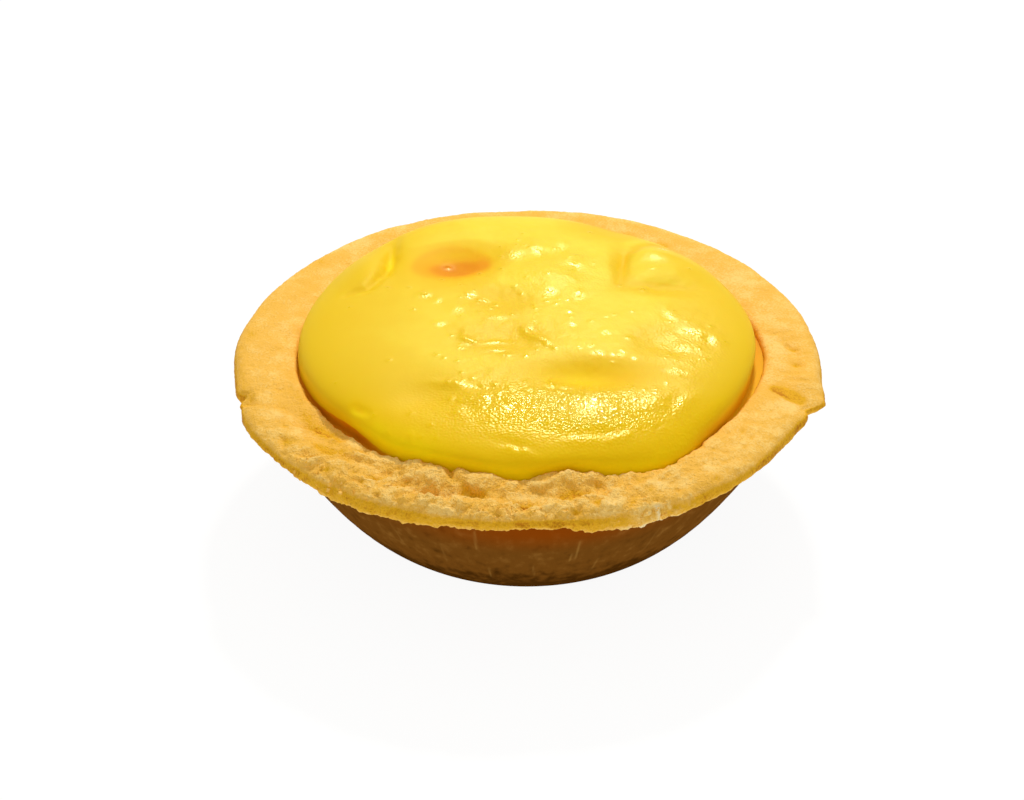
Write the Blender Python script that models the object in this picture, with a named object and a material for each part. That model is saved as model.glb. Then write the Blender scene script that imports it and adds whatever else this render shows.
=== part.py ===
"""Egg tart: a puffed baked custard in a shortcrust shell, standing in its thin round tart tin.

Three separate bodies nest inside each other: the tin, the pastry shell whose wide rim hangs over the
tin's lip, and the custard that fills the shell. Each is turned from a profile and then its rim or top
is pushed out of true by named bumps, as baking does. Units are metres, +Z is up, the tin stands on
z = 0 and the front of the tart faces -Y. Angles are in degrees round +Z from +X, so 270 is the front.
"""

import math

import bmesh
import bpy

MM = 0.001
SEGMENTS = 80
GAP = 0.3 * MM

# Tart tin: a thin pressed cup with a flat base, a rounded lower wall and a narrow turned-out lip.
TIN_WALL = 0.5 * MM
TIN_BASE_RADIUS = 23.2 * MM
TIN_MOUTH_RADIUS = 36.55 * MM
TIN_LIP_RADIUS = 37.1 * MM
TIN_WALL_HEIGHT = 19.2 * MM
TIN_HEIGHT = 19.7 * MM
TIN_WALL_PULL = (29.6 * MM, 4.9 * MM)
TIN_WALL_STEPS = 6

# Pastry shell: the crust under and beside the custard, and the wide flat rim over the tin's lip.
RIM_RADIUS = 39.9 * MM
RIM_TOP = 22.4 * MM
RIM_UNDERSIDE = TIN_HEIGHT + GAP
RIM_LOW_EDGE = 19.2 * MM
RIM_HOLE_RADIUS = 31.0 * MM
RIM_MIDDLE_RADIUS = 35.0 * MM
RECESS_FLOOR = 4.4 * MM
RECESS_FLOOR_RADIUS = 17.5 * MM
RECESS_WALL_PULL = (26.6 * MM, 6.2 * MM)
RECESS_MOUTH_RADIUS = 30.4 * MM
RECESS_MOUTH = 19.4 * MM
RECESS_STEPS = 5

# Custard: fills the recess and is puffed up above the rim, with steep shoulders and a nearly flat top.
CUSTARD_EDGE = 21.5 * MM
CUSTARD_RISE = 6.1 * MM
CUSTARD_BACK_RISE = 1.0 * MM
CUSTARD_SHOULDER_POWER = 3.8
CUSTARD_CROWN = 0.8 * MM
CUSTARD_RINGS = (0.985, 0.955, 0.91, 0.84, 0.74, 0.61, 0.46, 0.30, 0.14)
CUSTARD_DENT_POWER = 6.0

# Waves round the rim as (angle, size, half width in degrees); sizes in metres, outwards or upwards.
OUTER_WAVES = (
    (345.0, 1.2 * MM, 5.0),
    (330.0, -0.7 * MM, 11.0),
    (270.0, -0.9 * MM, 22.0),
    (210.0, 0.5 * MM, 14.0),
    (196.0, -0.6 * MM, 3.5),
    (125.0, 0.3 * MM, 22.0),
    (75.0, 0.3 * MM, 30.0),
)
HOLE_WAVES = (
    (105.0, 1.6 * MM, 38.0),
    (0.0, 1.1 * MM, 26.0),
    (304.0, 1.4 * MM, 12.0),
    (279.0, -1.3 * MM, 9.0),
    (250.0, -1.2 * MM, 14.0),
    (218.0, -0.9 * MM, 13.0),
)
LOW_EDGE_WAVES = (
    (316.0, 0.5 * MM, 14.0),
    (343.0, 1.0 * MM, 8.0),
    (212.0, 0.6 * MM, 15.0),
    (276.0, 0.4 * MM, 8.0),
    (263.0, 0.7 * MM, 13.0),
    (232.0, -0.4 * MM, 10.0),
    (288.0, -0.4 * MM, 9.0),
    (60.0, 0.3 * MM, 20.0),
    (130.0, -0.3 * MM, 18.0),
)
# The custard has shrunk from the crust in these places, as (angle, width of the groove, half width).
SHRINK_GROOVES = (
    (222.0, 0.9 * MM, 12.0),
    (200.0, 0.5 * MM, 12.0),
    (347.0, 0.75 * MM, 20.0),
    (10.0, 1.05 * MM, 24.0),
)

# Relief on the rim's top as (angle, radius, height, half width in degrees, half width in metres).
RIM_RELIEF = (
    (90.0, 37.5 * MM, 0.3 * MM, 60.0, 3.0 * MM),
    (341.0, 38.6 * MM, -0.6 * MM, 4.0, 2.4 * MM),
    (345.5, 35.0 * MM, -0.35 * MM, 4.0, 2.2 * MM),
    (350.0, 38.5 * MM, 0.4 * MM, 5.0, 2.0 * MM),
    (2.0, 36.0 * MM, -0.4 * MM, 4.0, 1.3 * MM),
    (355.0, 36.7 * MM, -0.4 * MM, 3.5, 1.2 * MM),
    (196.5, 39.3 * MM, -0.8 * MM, 4.0, 1.4 * MM),
    (214.0, 33.6 * MM, -0.9 * MM, 12.0, 1.8 * MM),
    (218.0, 37.0 * MM, 0.4 * MM, 12.0, 1.3 * MM),
    (229.0, 33.0 * MM, 0.4 * MM, 6.0, 1.2 * MM),
    (237.5, 33.9 * MM, -0.7 * MM, 4.5, 1.1 * MM),
    (248.5, 34.9 * MM, -0.9 * MM, 6.0, 1.1 * MM),
    (250.0, 30.6 * MM, -0.6 * MM, 3.0, 1.4 * MM),
    (251.0, 30.6 * MM, 0.8 * MM, 12.0, 1.9 * MM),
    (258.0, 34.6 * MM, -0.7 * MM, 5.0, 1.1 * MM),
    (258.0, 37.0 * MM, 0.4 * MM, 16.0, 1.2 * MM),
    (271.0, 33.9 * MM, -0.8 * MM, 4.5, 1.1 * MM),
    (280.0, 30.8 * MM, 1.0 * MM, 8.5, 1.9 * MM),
    (285.5, 33.4 * MM, -0.7 * MM, 4.5, 1.3 * MM),
    (300.0, 34.2 * MM, 0.3 * MM, 8.0, 1.4 * MM),
)
# Relief on the custard as (x, y, height, half width along X, half width along Y), all in metres.
CUSTARD_RELIEF = (
    (-13.0 * MM, 26.0 * MM, 1.0 * MM, 8.5 * MM, 5.0 * MM),
    (12.5 * MM, 26.5 * MM, -0.5 * MM, 5.0 * MM, 4.0 * MM),
    (-9.9 * MM, 14.4 * MM, -1.6 * MM, 4.4 * MM, 4.4 * MM),
    (19.4 * MM, 14.4 * MM, 1.0 * MM, 5.2 * MM, 5.0 * MM),
    (13.4 * MM, 14.0 * MM, -0.6 * MM, 1.9 * MM, 4.5 * MM),
    (18.5 * MM, 7.8 * MM, -0.6 * MM, 4.5 * MM, 1.9 * MM),
    (-22.6 * MM, 13.0 * MM, 0.7 * MM, 3.2 * MM, 5.0 * MM),
    (-18.8 * MM, 15.0 * MM, -0.5 * MM, 1.7 * MM, 5.5 * MM),
    (8.0 * MM, -13.8 * MM, -1.0 * MM, 7.0 * MM, 3.2 * MM),
    (17.8 * MM, -6.0 * MM, -0.5 * MM, 3.5 * MM, 3.0 * MM),
    (-2.8 * MM, -5.6 * MM, -0.6 * MM, 4.5 * MM, 3.0 * MM),
    (-13.2 * MM, -18.0 * MM, -0.6 * MM, 4.5 * MM, 3.0 * MM),
    (-3.6 * MM, 3.6 * MM, -0.5 * MM, 4.0 * MM, 3.0 * MM),
    (3.0 * MM, 10.0 * MM, 0.5 * MM, 5.0 * MM, 4.0 * MM),
)


def hump(distance, half_width):
    """Smooth bell of height 1, about a third at one half width."""
    return math.exp(-((distance / half_width) ** 2))


def turn_between(angle, other):
    """Shortest turn from one angle to the other, in degrees."""
    return (angle - other + 180.0) % 360.0 - 180.0


def wave(angle, waves):
    """Sum of the waves round the rim at this angle."""
    return sum(size * hump(turn_between(angle, place), width) for place, size, width in waves)


def smooth_step(value, low, high):
    """0 below low, 1 above high, eased between."""
    t = min(max((value - low) / (high - low), 0.0), 1.0)
    return t * t * (3.0 - 2.0 * t)


def curved_wall(start, pull, end, steps):
    """Points of a quadratic curve from start to end, bent towards pull, start left out."""
    points = []
    for step in range(1, steps + 1):
        t = step / steps
        a = (1.0 - t) ** 2
        b = 2.0 * t * (1.0 - t)
        c = t * t
        points.append((a * start[0] + b * pull[0] + c * end[0], a * start[1] + b * pull[1] + c * end[1]))
    return points


def inset(profile, distance):
    """The profile moved to its left by distance, with its corners kept sharp."""
    moved = []
    last = len(profile) - 1
    for i, (r, z) in enumerate(profile):
        before = profile[max(i - 1, 0)]
        after = profile[min(i + 1, last)]
        n1 = left_normal(before, (r, z)) if i > 0 else left_normal((r, z), after)
        n2 = left_normal((r, z), after) if i < last else n1
        nr = n1[0] + n2[0]
        nz = n1[1] + n2[1]
        scale = distance * 2.0 / (nr * nr + nz * nz)
        moved.append((max(r + nr * scale, 0.0), z + nz * scale))
    return moved


def left_normal(a, b):
    """Unit normal on the left of the step from a to b."""
    dr = b[0] - a[0]
    dz = b[1] - a[1]
    length = math.hypot(dr, dz)
    return (-dz / length, dr / length)


def tin_outside():
    """Outside of the tin from the middle of its base to the top of its wall."""
    base_edge = (TIN_BASE_RADIUS, 0.0)
    mouth = (TIN_MOUTH_RADIUS, TIN_WALL_HEIGHT)
    return [(0.0, 0.0), base_edge] + curved_wall(base_edge, TIN_WALL_PULL, mouth, TIN_WALL_STEPS)


def tin_profile():
    """Whole section of the tin: outside, lip, inside."""
    lip = [
        (TIN_LIP_RADIUS, TIN_WALL_HEIGHT + 0.1 * MM),
        (TIN_LIP_RADIUS, TIN_HEIGHT),
        (TIN_MOUTH_RADIUS - TIN_WALL, TIN_HEIGHT),
    ]
    inside = inset(tin_outside(), TIN_WALL)[:-1]
    return tin_outside() + lip + inside[::-1]


def recess_profile():
    """Inside of the shell from the middle of its floor up to the mouth of the recess."""
    floor_edge = (RECESS_FLOOR_RADIUS, RECESS_FLOOR)
    mouth = (RECESS_MOUTH_RADIUS, RECESS_MOUTH)
    return [(0.0, RECESS_FLOOR), floor_edge] + curved_wall(floor_edge, RECESS_WALL_PULL, mouth, RECESS_STEPS)


def shell_profile():
    """Whole section of the pastry shell: outside of the crust, skirt over the lip, rim, recess."""
    return crust_outside() + shell_skirt() + shell_hole() + recess_profile()[::-1]


def crust_outside():
    """Outside of the crust, a gap inside the tin, up to where it turns out over the lip."""
    outside = inset(tin_outside(), TIN_WALL + GAP)
    return outside + [(outside[-1][0], RIM_UNDERSIDE), (TIN_LIP_RADIUS + 0.5 * MM, RIM_UNDERSIDE)]


def shell_skirt():
    """The rim's hanging outer edge, from the inside of its low edge to the middle of its top."""
    return [
        (TIN_LIP_RADIUS + 0.9 * MM, RIM_LOW_EDGE + 0.1 * MM),
        (RIM_RADIUS - 1.0 * MM, RIM_LOW_EDGE),
        (RIM_RADIUS - 0.2 * MM, RIM_LOW_EDGE + 0.8 * MM),
        (RIM_RADIUS, RIM_LOW_EDGE + 1.5 * MM),
        (RIM_RADIUS - 0.5 * MM, RIM_TOP - 0.6 * MM),
        (RIM_RADIUS - 1.5 * MM, RIM_TOP - 0.1 * MM),
        (RIM_MIDDLE_RADIUS + 1.4 * MM, RIM_TOP),
    ]


def shell_hole():
    """The rim's inner half, from the middle of its top over the edge into the recess."""
    return [
        (RIM_MIDDLE_RADIUS - 0.4 * MM, RIM_TOP),
        (RIM_HOLE_RADIUS + 1.4 * MM, RIM_TOP),
        (RIM_HOLE_RADIUS + 0.4 * MM, RIM_TOP - 0.15 * MM),
        (RIM_HOLE_RADIUS, RIM_TOP - 0.7 * MM),
        (RIM_HOLE_RADIUS - 0.2 * MM, RIM_TOP - 1.5 * MM),
    ]


def shell_stations():
    """Numbers along the shell's profile at which the skirt and the hole begin."""
    skirt = len(crust_outside())
    return skirt, skirt + len(shell_skirt())


def custard_profile():
    """Whole section of the custard: its underside in the recess, then the dome as a plain disc."""
    underside = inset(recess_profile(), GAP * 1.15)
    edge_radius = RIM_HOLE_RADIUS - 0.2 * MM - GAP * 1.3
    side = [(edge_radius, RIM_TOP - 1.5 * MM), (edge_radius, CUSTARD_EDGE)]
    top = [(edge_radius * share, CUSTARD_EDGE) for share in CUSTARD_RINGS]
    return underside + side + top + [(0.0, CUSTARD_EDGE)]


def turned_body(name, profile, shape):
    """Spin the profile round +Z, move every point by shape(point, station), and return the new object.

    The station is the point's number along the profile, which every turned copy of it keeps.
    """
    bm = bmesh.new()
    station = bm.verts.layers.int.new("station")
    points = [bm.verts.new((r, 0.0, z)) for r, z in profile]
    for number, point in enumerate(points):
        point[station] = number
    lines = [bm.edges.new(pair) for pair in zip(points, points[1:])]
    bmesh.ops.spin(
        bm,
        geom=points + lines,
        cent=(0.0, 0.0, 0.0),
        axis=(0.0, 0.0, 1.0),
        angle=math.tau,
        steps=SEGMENTS,
        use_merge=True,
    )
    bmesh.ops.remove_doubles(bm, verts=bm.verts, dist=0.01 * MM)
    bmesh.ops.recalc_face_normals(bm, faces=bm.faces)
    for vert in bm.verts:
        shape(vert.co, vert[station])
    bmesh.ops.triangulate(bm, faces=bm.faces)
    bm.verts.layers.int.remove(station)
    mesh = bpy.data.meshes.new(name)
    bm.to_mesh(mesh)
    bm.free()
    mesh.shade_smooth()
    mesh.set_sharp_from_angle(angle=math.radians(40.0))
    body = bpy.data.objects.new(name, mesh)
    bpy.context.scene.collection.objects.link(body)
    return body


def polar(point):
    """Radius and angle in degrees of a point round +Z."""
    return math.hypot(point.x, point.y), math.degrees(math.atan2(point.y, point.x)) % 360.0


def place_polar(point, radius, angle):
    """Move a point to this radius and angle, keeping its height."""
    point.x = radius * math.cos(math.radians(angle))
    point.y = radius * math.sin(math.radians(angle))


def hole_shift(angle, height):
    """How far the wall of the recess stands out from its turned shape at this angle and height."""
    return wave(angle, HOLE_WAVES) * smooth_step(height, RECESS_MOUTH - 12.0 * MM, RECESS_MOUTH + 1.5 * MM)


def keep_turned(point, station):
    """The tin stays as turned."""


def shape_shell(point, station):
    """Push the rim's outline, low edge, hole and top out of true; the crust below stays as turned."""
    radius, angle = polar(point)
    height = point.z
    first_of_skirt, first_of_hole = shell_stations()
    if first_of_skirt <= station < first_of_hole:
        low = 1.0 - smooth_step(height, RIM_LOW_EDGE + 0.2 * MM, RIM_TOP)
        point.z += wave(angle, LOW_EDGE_WAVES) * low
        outward = wave(angle, OUTER_WAVES) * smooth_step(radius, RIM_MIDDLE_RADIUS, RIM_RADIUS - 1.0 * MM)
        pushed = radius + outward
        if height < RIM_UNDERSIDE + 1.0 * MM:
            pushed = max(pushed, TIN_LIP_RADIUS + 0.45 * MM)
        place_polar(point, pushed, angle)
    elif station >= first_of_hole:
        share = 1.0 - smooth_step(radius, RIM_HOLE_RADIUS, RIM_MIDDLE_RADIUS)
        place_polar(point, radius + hole_shift(angle, height) * share, angle)
    top_share = smooth_step(height, RIM_TOP - 1.6 * MM, RIM_TOP - 0.1 * MM)
    if top_share > 0.0:
        final_radius = polar(point)[0]
        point.z += top_share * rim_relief(final_radius, angle)


def rim_relief(radius, angle):
    """Height of the lumps and dents on the rim's top."""
    total = 0.0
    for place, middle, height, half_turn, half_width in RIM_RELIEF:
        total += height * hump(turn_between(angle, place), half_turn) * hump(radius - middle, half_width)
    return total


def shape_custard(point, station):
    """Follow the recess wall below the rim, and puff the disc above into the dome."""
    radius, angle = polar(point)
    height = point.z
    edge_radius = RIM_HOLE_RADIUS - 0.2 * MM - GAP * 1.3
    share = min(radius / edge_radius, 1.0)
    if height < CUSTARD_EDGE - 0.1 * MM:
        place_polar(point, radius + hole_shift(angle, height) * smooth_step(radius, 0.0, edge_radius), angle)
        return
    groove = wave(angle, SHRINK_GROOVES)
    shift = hole_shift(angle, height) - groove
    dent_power = CUSTARD_DENT_POWER if shift < 0.0 else 1.0
    place_polar(point, share * edge_radius + shift * share**dent_power, angle)
    puff = (1.0 - share**CUSTARD_SHOULDER_POWER) ** (1.0 / CUSTARD_SHOULDER_POWER)
    rise = CUSTARD_RISE + CUSTARD_BACK_RISE * point.y / edge_radius
    point.z += rise * puff + CUSTARD_CROWN * (1.0 - share * share) + custard_relief(point) * puff
    point.z -= groove * (1.0 - puff)


def custard_relief(point):
    """Height of the blisters, swells and hollows on the custard."""
    total = 0.0
    for x, y, height, half_x, half_y in CUSTARD_RELIEF:
        total += height * hump(point.x - x, half_x) * hump(point.y - y, half_y)
    return total


def finish(body, colour, roughness, metallic):
    """Give the body its own Principled material."""
    material = bpy.data.materials.new(body.name + "_finish")
    material.use_nodes = True
    shader = material.node_tree.nodes["Principled BSDF"]
    shader.inputs["Base Color"].default_value = (*colour, 1.0)
    shader.inputs["Roughness"].default_value = roughness
    shader.inputs["Metallic"].default_value = metallic
    body.data.materials.append(material)


def stand_on_origin(bodies):
    """Hang the bodies on a marker, placed so that the box round them is centred over the origin."""
    xs = [vert.co.x for body in bodies for vert in body.data.vertices]
    ys = [vert.co.y for body in bodies for vert in body.data.vertices]
    marker = bpy.data.objects.new("egg_tart", None)
    bpy.context.scene.collection.objects.link(marker)
    marker.location = (-(min(xs) + max(xs)) / 2.0, -(min(ys) + max(ys)) / 2.0, 0.0)
    for body in bodies:
        body.parent = marker


def clear_scene():
    """Remove whatever the scene holds."""
    for item in list(bpy.data.objects):
        bpy.data.objects.remove(item, do_unlink=True)


def build():
    """Make the three nested bodies."""
    clear_scene()
    tin = turned_body("tart_tin", tin_profile(), keep_turned)
    shell = turned_body("pastry_shell", shell_profile(), shape_shell)
    custard = turned_body("custard", custard_profile(), shape_custard)
    finish(tin, (0.14, 0.055, 0.012), 0.42, 0.8)
    finish(shell, (0.86, 0.50, 0.13), 0.75, 0.0)
    finish(custard, (0.90, 0.60, 0.03), 0.25, 0.0)
    stand_on_origin([tin, shell, custard])


build()
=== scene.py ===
"""Looks of the egg tart: thin brown tin, crumbly pastry with a wide rim, and a glossy puffed custard.

Shapes are worked out in millimetres round the tin's own axis, and to_frame() puts them where the solids
are. Angles are degrees round +Z from +X, so 270 is the front. Each of the three skins repeats the section
and the waves of the solid that it stands for, and then adds the fine relief of baking.
"""

import math

import bmesh
import bpy
import numpy as np
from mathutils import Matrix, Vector, noise


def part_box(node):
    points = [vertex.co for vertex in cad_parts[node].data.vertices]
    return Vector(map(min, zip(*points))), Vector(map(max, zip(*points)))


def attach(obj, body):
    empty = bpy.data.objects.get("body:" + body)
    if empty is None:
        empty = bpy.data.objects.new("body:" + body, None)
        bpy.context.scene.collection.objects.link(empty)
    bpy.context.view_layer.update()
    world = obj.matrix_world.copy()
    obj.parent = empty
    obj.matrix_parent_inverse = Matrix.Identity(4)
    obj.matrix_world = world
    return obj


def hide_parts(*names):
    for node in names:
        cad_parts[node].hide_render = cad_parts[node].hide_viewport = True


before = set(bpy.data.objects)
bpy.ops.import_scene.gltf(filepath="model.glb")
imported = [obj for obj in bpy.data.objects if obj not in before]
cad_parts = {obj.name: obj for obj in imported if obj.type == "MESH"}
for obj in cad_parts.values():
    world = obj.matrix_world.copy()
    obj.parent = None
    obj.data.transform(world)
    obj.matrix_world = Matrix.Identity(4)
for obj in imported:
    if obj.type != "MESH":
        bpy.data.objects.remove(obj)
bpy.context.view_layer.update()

# ---------------------------------------------------------------- driving sizes, in millimetres

TIN_WALL = 0.5
TIN_BASE_RADIUS = 23.2
TIN_MOUTH_RADIUS = 36.55
TIN_LIP_RADIUS = 37.1
TIN_WALL_HEIGHT = 19.2
TIN_HEIGHT = 19.7
TIN_WALL_PULL = (29.6, 4.9)
FLUTE_COUNT = 96.0
FLUTE_DEPTH = 0.05
# Half width in degrees of the thin painted glints on the tin's wall.
GLINT_LINE_HALF_TURN = 0.22

GAP = 0.3
RIM_RADIUS = 39.9
RIM_TOP = 22.4
RIM_UNDERSIDE = TIN_HEIGHT + GAP
RIM_LOW_EDGE = 19.2
RIM_HOLE_RADIUS = 31.0
RIM_MIDDLE_RADIUS = 35.0
RECESS_FLOOR = 4.4
RECESS_FLOOR_RADIUS = 17.5
RECESS_WALL_PULL = (26.6, 6.2)
RECESS_MOUTH_RADIUS = 30.4
RECESS_MOUTH = 19.4

CUSTARD_EDGE = 21.5
CUSTARD_EDGE_RADIUS = RIM_HOLE_RADIUS - 0.2 - 1.3 * GAP
CUSTARD_RISE = 6.1
CUSTARD_BACK_RISE = 1.0
CUSTARD_SHOULDER_POWER = 3.8
CUSTARD_CROWN = 0.8
CUSTARD_SPREAD = 0.65
FOOT_WIDTH = 0.12
FOOT_DROP = 0.8
TORN_ANGLE = 218.0
BROAD_WAVE = 20.0

TIN_LOW, TIN_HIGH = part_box("tart_tin")
MM = (TIN_HIGH.x - TIN_LOW.x) / 2.0 / TIN_LIP_RADIUS
AXIS = (TIN_LOW + TIN_HIGH) / 2.0
STANDS_AT = TIN_LOW.z

TURNS = 880
SKIN_STEP = 0.24

# Where the lamp and the eye are, which the glints on the custard depend on.
KEY_TURN = 8.0
KEY_RISE = 50.0
KEY_DISTANCE = 620.0
KEY_AIM_HEIGHT = 20.0
VIEW_RISE = 33.4
VIEW_DISTANCE = 400.0
VIEW_HEIGHT = 10.0

# Waves round the rim as (angle, size, half width in degrees), outwards or upwards. OUTER_NICKS are the small
# nicks and corners of the outer edge.
OUTER_WAVES = (
    (345.0, 1.2, 5.0),
    (330.0, -0.7, 11.0),
    (270.0, -0.9, 22.0),
    (210.0, 0.5, 14.0),
    (196.0, -0.6, 3.5),
    (125.0, 0.3, 22.0),
    (75.0, 0.3, 30.0),
)
OUTER_NICKS = (
    (343.6, 0.45, 1.3),
    (340.4, -0.75, 1.2),
    (336.6, 0.25, 1.6),
    (187.0, -0.35, 6.0),
    (194.6, -0.75, 0.75),
    (196.6, 0.25, 0.8),
    (217.0, 0.15, 2.5),
    (300.5, 0.25, 2.2),
    (306.0, -0.2, 3.0),
    (286.0, -0.15, 2.2),
    (263.0, 0.25, 4.0),
    (247.0, -0.15, 3.0),
)
HOLE_WAVES = (
    (105.0, 1.6, 38.0),
    (0.0, 1.1, 26.0),
    (304.0, 1.4, 12.0),
    (279.0, -1.3, 9.0),
    (250.0, -1.2, 14.0),
    (218.0, -0.9, 13.0),
)
LOW_EDGE_WAVES = (
    (316.0, 0.5, 14.0),
    (343.0, 1.0, 8.0),
    (212.0, 0.6, 15.0),
    (276.0, 0.4, 8.0),
    (263.0, 0.7, 13.0),
    (232.0, -0.4, 10.0),
    (288.0, -0.4, 9.0),
    (60.0, 0.3, 20.0),
    (130.0, -0.3, 18.0),
)
# Where the custard has shrunk from the crust: (angle, width of the groove, half width in degrees).
SHRINK_GROOVES = (
    (222.0, 0.9, 12.0),
    (200.0, 0.5, 12.0),
    (347.0, 0.75, 20.0),
    (10.0, 1.05, 24.0),
)
# Relief on the rim's top as (angle, radius, height, half width in degrees, half width). The last one lets
# the terrace at the left dip into the groove beside the custard.
RIM_RELIEF = (
    (90.0, 37.5, 0.3, 60.0, 3.0),
    (341.0, 38.6, -0.6, 4.0, 2.4),
    (345.5, 35.0, -0.35, 4.0, 2.2),
    (350.0, 38.5, 0.4, 5.0, 2.0),
    (2.0, 36.0, -0.4, 4.0, 1.3),
    (355.0, 36.7, -0.4, 3.5, 1.2),
    (196.5, 39.3, -0.8, 4.0, 1.4),
    (214.0, 33.6, -0.9, 12.0, 1.8),
    (218.0, 37.0, 0.4, 12.0, 1.3),
    (229.0, 33.0, 0.4, 6.0, 1.2),
    (237.5, 33.9, -0.7, 4.5, 1.1),
    (248.5, 34.9, -0.9, 6.0, 1.1),
    (250.0, 30.6, -0.6, 3.0, 1.4),
    (251.0, 30.6, 0.8, 12.0, 1.9),
    (258.0, 34.6, -0.7, 5.0, 1.1),
    (258.0, 37.0, 0.4, 16.0, 1.2),
    (271.0, 33.9, -0.8, 4.5, 1.1),
    (280.0, 30.8, 1.0, 8.5, 1.9),
    (285.5, 33.4, -0.7, 4.5, 1.3),
    (300.0, 34.2, 0.3, 8.0, 1.4),
    (217.0, 31.2, -0.6, 10.0, 1.3),
)
# Relief on the custard as (x, y, height, half width along X, half width along Y).
CUSTARD_RELIEF = (
    (-13.0, 26.0, 1.0, 8.5, 5.0),
    (12.5, 26.5, -0.5, 5.0, 4.0),
    (-9.9, 14.4, -1.6, 4.8, 4.6),
    (19.4, 14.4, 1.1, 5.3, 5.1),
    (13.4, 14.0, -0.6, 1.9, 4.5),
    (18.5, 7.8, -0.6, 4.5, 1.9),
    (-22.6, 13.0, 0.8, 3.2, 5.0),
    (-18.8, 15.0, -0.6, 1.7, 5.5),
    (8.0, -13.6, -1.1, 7.0, 3.0),
    (8.4, -18.4, 0.16, 2.4, 1.8),
    (17.8, -19.4, 0.14, 1.8, 1.8),
    (-3.4, -18.2, 0.16, 3.6, 1.8),
    (17.8, -6.0, -0.5, 3.5, 3.0),
    (-2.8, -5.6, -0.6, 4.5, 3.0),
    (-13.2, -18.0, -0.6, 4.5, 3.0),
    (-3.6, 3.6, -0.5, 4.0, 3.0),
    (3.0, 10.0, 0.5, 5.0, 4.0),
)

# Creases and pits in the rim: course as (angle, radius) points, depth, half width, how brown inside, partly
# browning and partly painted shade.
RIM_CREASES = (
    (((344.8, 34.6), (343.9, 36.4), (342.6, 38.4)), 0.12, 0.90, 0.0),
    (((3.2, 35.4), (1.6, 36.2), (0.8, 36.8)), 0.30, 0.45, 0.20),
    (((355.8, 36.0), (355.0, 36.9)), 0.30, 0.45, 0.24),
    (((7.5, 33.8), (8.0, 37.0)), 0.12, 0.35, 0.06),
    (((4.6, 33.6), (5.2, 36.6)), 0.10, 0.35, 0.05),
    (((359.0, 34.0), (359.4, 38.4)), 0.10, 0.35, 0.06),
    (((351.5, 33.8), (351.2, 38.4)), 0.12, 0.40, 0.06),
    (((349.0, 35.4), (348.0, 38.2)), 0.14, 0.35, 0.08),
    (((13.0, 35.7), (13.4, 36.0)), 0.10, 0.35, 0.08),
    (((200.4, 38.2), (202.6, 35.0)), 0.14, 0.40, 0.05),
    (((210.4, 36.6), (210.8, 36.2)), 0.45, 0.35, 0.25),
    (((214.0, 38.6), (217.0, 37.7)), 0.22, 0.70, 0.20),
    (((222.6, 38.3), (224.3, 37.1)), 0.35, 0.40, 0.22),
    (((226.0, 39.2), (229.9, 37.2)), 0.22, 0.60, 0.22),
    (((219.5, 35.2), (224.5, 34.4)), 0.16, 0.50, 0.12),
    (((236.4, 36.0), (237.2, 35.0), (238.4, 34.2)), 0.50, 0.42, 0.30),
    (((239.4, 35.4), (242.0, 34.9), (245.0, 34.3)), 0.40, 0.55, 0.24),
    (((236.0, 37.6), (236.9, 37.0)), 0.25, 0.40, 0.22),
    (((247.2, 35.6), (249.0, 34.8), (251.6, 35.6)), 0.55, 0.90, 0.12),
    (((249.8, 36.2), (252.2, 36.2), (253.6, 35.2)), 0.40, 0.40, 0.26),
    (((254.2, 34.2), (257.0, 33.6), (260.6, 33.9), (262.2, 33.2)), 0.45, 0.50, 0.14),
    (((250.4, 29.6), (252.2, 31.1), (253.2, 32.3)), 0.60, 0.40, 0.16),
    (((269.6, 31.2), (268.9, 32.6), (266.0, 33.1)), 0.35, 0.40, 0.14),
    (((267.8, 35.2), (269.6, 36.5), (271.6, 35.2)), 0.50, 0.50, 0.34),
    (((277.0, 35.0), (280.4, 34.0), (284.0, 33.6)), 0.45, 0.60, 0.34),
    (((283.2, 36.8), (284.6, 36.4), (283.9, 37.8)), 0.50, 0.42, 0.38),
    (((290.6, 37.8), (292.4, 36.5)), 0.16, 0.60, 0.22),
    (((295.0, 36.2), (296.5, 36.3)), 0.20, 0.40, 0.18),
    (((296.1, 39.3), (297.3, 38.7)), 0.20, 0.50, 0.26),
    (((300.0, 35.0), (302.4, 34.6)), 0.12, 0.34, 0.10),
    (((312.8, 36.6), (313.8, 37.0)), 0.22, 0.32, 0.20),
    (((314.6, 33.9), (315.6, 34.0)), 0.20, 0.30, 0.18),
    (((320.2, 36.7), (320.8, 36.5)), 0.20, 0.32, 0.20),
    (((323.5, 36.2), (324.4, 35.9)), 0.22, 0.32, 0.20),
    (((324.6, 34.5), (325.9, 34.2)), 0.20, 0.30, 0.20),
    (((334.6, 35.3), (335.6, 35.5)), 0.12, 0.30, 0.12),
)
# Edges of layers of dough, each standing up on its outer, front side: (angle, radius) line, height, and how
# much painted shade darkens the dough below the edge.
RIM_LEDGES = (
    (((219.0, 39.0), (222.4, 38.3), (223.9, 37.6), (225.0, 35.6), (226.9, 33.7), (233.4, 32.3)), 0.95, 0.22),
    (((207.6, 38.0), (208.6, 36.8), (211.2, 34.9), (213.4, 33.2), (217.4, 32.5), (223.5, 31.8)), 0.50, 0.20),
    (((196.2, 39.7), (199.5, 38.6), (201.4, 37.4), (202.0, 35.4)), 0.45, 0.14),
    (((195.2, 37.8), (196.0, 35.1), (197.9, 32.3)), 0.24, 0.08),
    (((246.2, 37.0), (252.2, 36.8), (254.0, 35.4), (256.0, 34.4), (259.0, 34.5), (261.8, 33.8)), 0.60, 0.18),
    (((238.8, 35.9), (242.0, 35.5), (245.4, 34.7)), 0.40, 0.14),
    (((344.4, 33.2), (342.6, 34.7), (340.5, 36.7), (341.0, 39.2)), 0.16, 0.10),
    (((277.0, 35.7), (280.4, 34.9), (284.6, 34.6)), 0.30, 0.16),
)
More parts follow.
